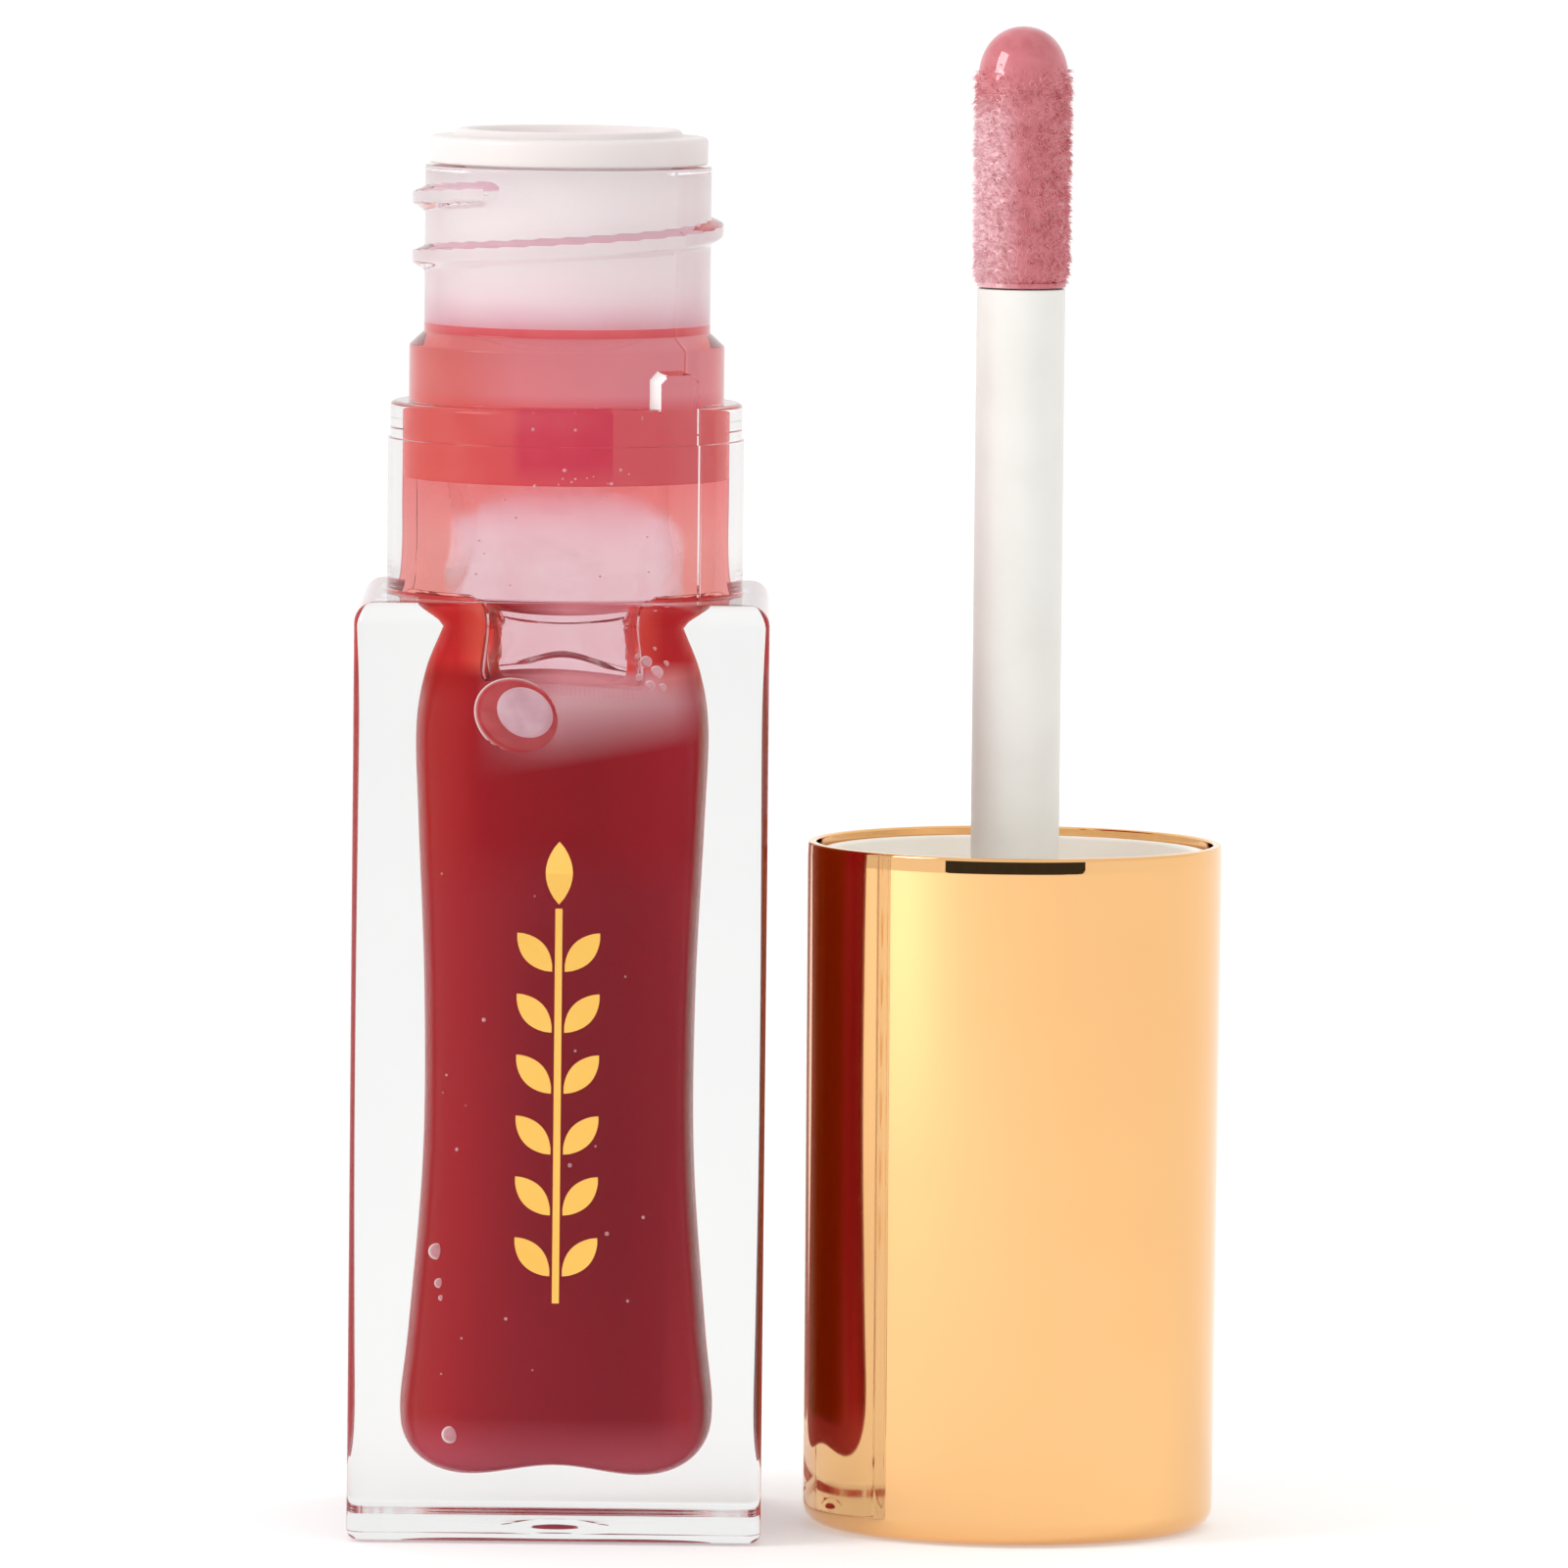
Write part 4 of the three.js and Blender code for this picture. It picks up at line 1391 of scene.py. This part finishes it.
def pad_profile(inside, centre):
    """Outline of the pad: up its outside, over the dome and down its inside."""
    rows = 110 if FINE else 50
    joint = STEM_RADIUS + 0.015
    foot = TIP_FOOT - PAD_LAP
    profile = [(inside, TIP_FOOT), (inside, foot), (joint, foot), (joint, TIP_FOOT + 0.1)]
    for i in range(rows + 1):
        z = lerp(TIP_FOOT + 0.15, centre, i / rows)
        profile.append((tip_radius(z) - PAD_DEPTH, z))
    dome = 14
    for i in range(1, dome + 1):
        turn = math.pi / 2 * i / dome
        out = (TIP_RADIUS - PAD_DEPTH * math.cos(turn)) * math.cos(turn)
        profile.append((out if i < dome else 0.0, centre + TIP_DOME * math.sin(turn)))
    for i in range(0, 7):
        turn = math.pi / 2 * (1 - i / 6)
        out = 0.0 if i == 0 else inside * math.cos(turn)
        profile.append((out, centre + (TIP_DOME - PAD_THICKNESS) * math.sin(turn)))
    return profile


def make_pad():
    """The soaked flock under the fibres: lumpy on its sides, smooth and wet on its end."""
    centre = TIP_END - TIP_DOME
    inside = TIP_RADIUS - PAD_THICKNESS
    profile = pad_profile(inside, centre)
    bm = skin(turned_rings(profile, 120 if FINE else 60, CAP_X), closed=True)
    for vertex in bm.verts:
        x, y, z = vertex.co.x / MM - CAP_X, vertex.co.y / MM, vertex.co.z / MM
        out = math.hypot(x, y)
        dry = 1 - smoothstep(centre - 0.9, centre + 0.5, z)
        if out > inside + 0.05 and dry > 0 and z > TIP_FOOT + 0.12:
            lump = noise.fractal(Vector((x, y, z)) * 4.5, 1.0, 2.0, 3)
            grow = 1 + 0.10 * dry * lump / out
            vertex.co.x = (CAP_X + x * grow) * MM
            vertex.co.y = y * grow * MM
    wet_flock = flock_fibre("wet_flock", (0.48, 0.085, 0.105), (0.60, 0.16, 0.19))
    return add_piece("tip_pad", bm, "wand", [wet_flock], ["tip_flock"], sharp=60)


def add_fibre(bm, foot, aim, length, width):
    """One tapered fibre: a three-sided spike with a bend."""
    side = aim.cross(Vector((0.3, 0.2, 1.0))).normalized()
    other = aim.cross(side)
    spokes = [side * math.cos(t) + other * math.sin(t) for t in (0.0, 2.09, 4.19)]
    base = [bm.verts.new((foot + s * width) * MM) for s in spokes]
    middle = [bm.verts.new((foot + aim * length * 0.6 + s * width * 0.8) * MM) for s in spokes]
    end = bm.verts.new((foot + (aim + Vector((0, 0, -0.25))) * length) * MM)
    bm.faces.new(base[::-1])
    for i in range(3):
        j = (i + 1) % 3
        bm.faces.new([base[i], base[j], middle[j], middle[i]])
        bm.faces.new([middle[i], middle[j], end])


def make_fibres():
    """Short fibres standing out of the pad, clotted into tufts by the gloss."""
    rng = random.Random(FIBRE_SEED)
    # Without this the noise vectors differ from run to run.
    noise.seed_set(FIBRE_SEED)
    centre = TIP_END - TIP_DOME
    bm = bmesh.new()
    for _ in range(FIBRES):
        angle = rng.uniform(0, FULL_TURN)
        z = rng.uniform(TIP_FOOT + 0.05, centre + 0.9)
        if rng.random() < smoothstep(centre - 0.6, centre + 0.9, z):
            continue
        spoke = Vector((math.cos(angle), math.sin(angle), 0.0))
        tuft = noise.noise_vector(Vector((spoke.x * 6, spoke.y * 6, z * 2.6)))
        aim = (spoke + tuft * 0.75 + Vector((0, 0, rng.uniform(-0.25, 0.15)))).normalized()
        clump = noise.noise(Vector((spoke.x * 8, spoke.y * 8, z * 3.5)))
        length = (FIBRE_LENGTH + 0.16 * clump) * rng.uniform(0.7, 1.15)
        foot = Vector((CAP_X, 0, z)) + spoke * (tip_radius(z) - 0.30)
        add_fibre(bm, foot, aim, length, rng.uniform(0.018, 0.032))
    bmesh.ops.recalc_face_normals(bm, faces=bm.faces)
    for face in bm.faces:
        face.smooth = True
    fibre = flock_fibre("flock_fibre", (0.66, 0.19, 0.21), (0.84, 0.40, 0.43))
    return add_piece("tip_fibres", bm, "wand", [fibre], sharp=70)


# ---- Stage ----


def make_floor():
    """A white sweep: the floor curves up into the backdrop far behind."""
    material, tree, shader, place = new_material("white_sweep")
    cloud = noise_value(tree, place, 3.0, 2.0)
    tint = colour_steps(tree, cloud, [(0.2, (0.70, 0.70, 0.70)), (0.8, (0.72, 0.72, 0.72))])
    tree.links.new(tint, shader.inputs["Base Color"])
    make_glow(tree, shader, tint, FLOOR_GLOW)
    shader.inputs["Roughness"].default_value = 0.9
    path = rounded([
        (-SWEEP_HALF_WIDTH, -FLOOR_GAP, 0),
        (SWEEP_BACK, -FLOOR_GAP, SWEEP_BEND),
        (SWEEP_BACK, SWEEP_TOP, 0),
    ], steps=16)
    bm = bmesh.new()
    left = [bm.verts.new((-SWEEP_HALF_WIDTH, y, z)) for y, z in path]
    right = [bm.verts.new((SWEEP_HALF_WIDTH, y, z)) for y, z in path]
    for i in range(len(path) - 1):
        face = bm.faces.new([left[i], right[i], right[i + 1], left[i + 1]])
        face.smooth = True
    new_object("sweep", bm, [material])


def make_dark_card():
    """A black card standing behind the camera, mirrored in the cap's rim only."""
    material, tree, shader, place = new_material("dark_card")
    cloud = noise_value(tree, place, 8.0)
    tint = two_tone(tree, cloud, (0.006, 0.006, 0.006), (0.012, 0.012, 0.012))
    tree.links.new(tint, shader.inputs["Base Color"])
    bm = bmesh.new()
    half, foot, top = CARD_HALF_WIDTH, CARD_FOOT, CARD_TOP
    corners = ((-half, foot), (half, foot), (half, top), (-half, top))
    bm.faces.new([bm.verts.new((x, CARD_Y, z)) for x, z in corners])
    new_object("dark_card", bm, [material])


def make_world():
    world = bpy.data.worlds.new("studio")
    bpy.context.scene.world = world
    world.use_nodes = True
    background = world.node_tree.nodes["Background"]
    background.inputs["Color"].default_value = (*WHITE, 1.0)
    background.inputs["Strength"].default_value = WORLD_LIGHT


def add_softbox(name, place, aim, width, height, power):
    data = bpy.data.lights.new(name, "AREA")
    data.shape = "RECTANGLE"
    data.size = width
    data.size_y = height
    data.energy = power
    box = bpy.data.objects.new(name, data)
    box.location = place
    box.rotation_euler = (Vector(aim) - Vector(place)).to_track_quat("-Z", "Y").to_euler()
    box.visible_transmission = False
    bpy.context.scene.collection.objects.link(box)


def make_camera():
    data = bpy.data.cameras.new("camera")
    data.sensor_width = 36.0
    data.lens = CAMERA_LENS
    data.clip_start = 0.01
    data.clip_end = 20.0
    camera = bpy.data.objects.new("camera", data)
    camera.location = CAMERA_PLACE
    pitch = Matrix.Rotation(CAMERA_PITCH, 4, "X")
    roll = Matrix.Rotation(CAMERA_ROLL, 4, "Z")
    camera.rotation_euler = (pitch @ roll).to_euler()
    bpy.context.scene.collection.objects.link(camera)
    bpy.context.scene.camera = camera


def finish_materials():
    """The CAD nodes that are shown as they are, inside the tip."""
    for node, material in (
        ("tip_core", cream_plastic("core_plastic", (0.78, 0.72, 0.66), (0.70, 0.62, 0.56))),
        ("tip_pin", plain_wire()),
    ):
        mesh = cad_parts[node].data
        mesh.materials.clear()
        mesh.materials.append(material)


make_bottle()
make_gloss()
make_film()
make_bubbles()
make_plug()
make_wiper()
make_foil()
make_shell()
make_liner()
make_stem()
make_pad()
make_fibres()
finish_materials()
make_floor()
make_world()
add_softbox("left_softbox", (-0.55, -0.25, 0.35), (0.0, 0.0, 0.03), 0.3, 0.42, 1.8)
add_softbox("floor_glow", (-0.27, -0.14, 0.12), (-0.27, -0.14, 0.0), 0.16, 0.16, 0.14)
make_dark_card()
make_camera()

scene = bpy.context.scene
scene.view_settings.view_transform = "Standard"
scene.cycles.max_bounces = 24
scene.cycles.transmission_bounces = 24
scene.cycles.glossy_bounces = 8
scene.cycles.diffuse_bounces = 4
scene.cycles.sample_clamp_indirect = 8.0
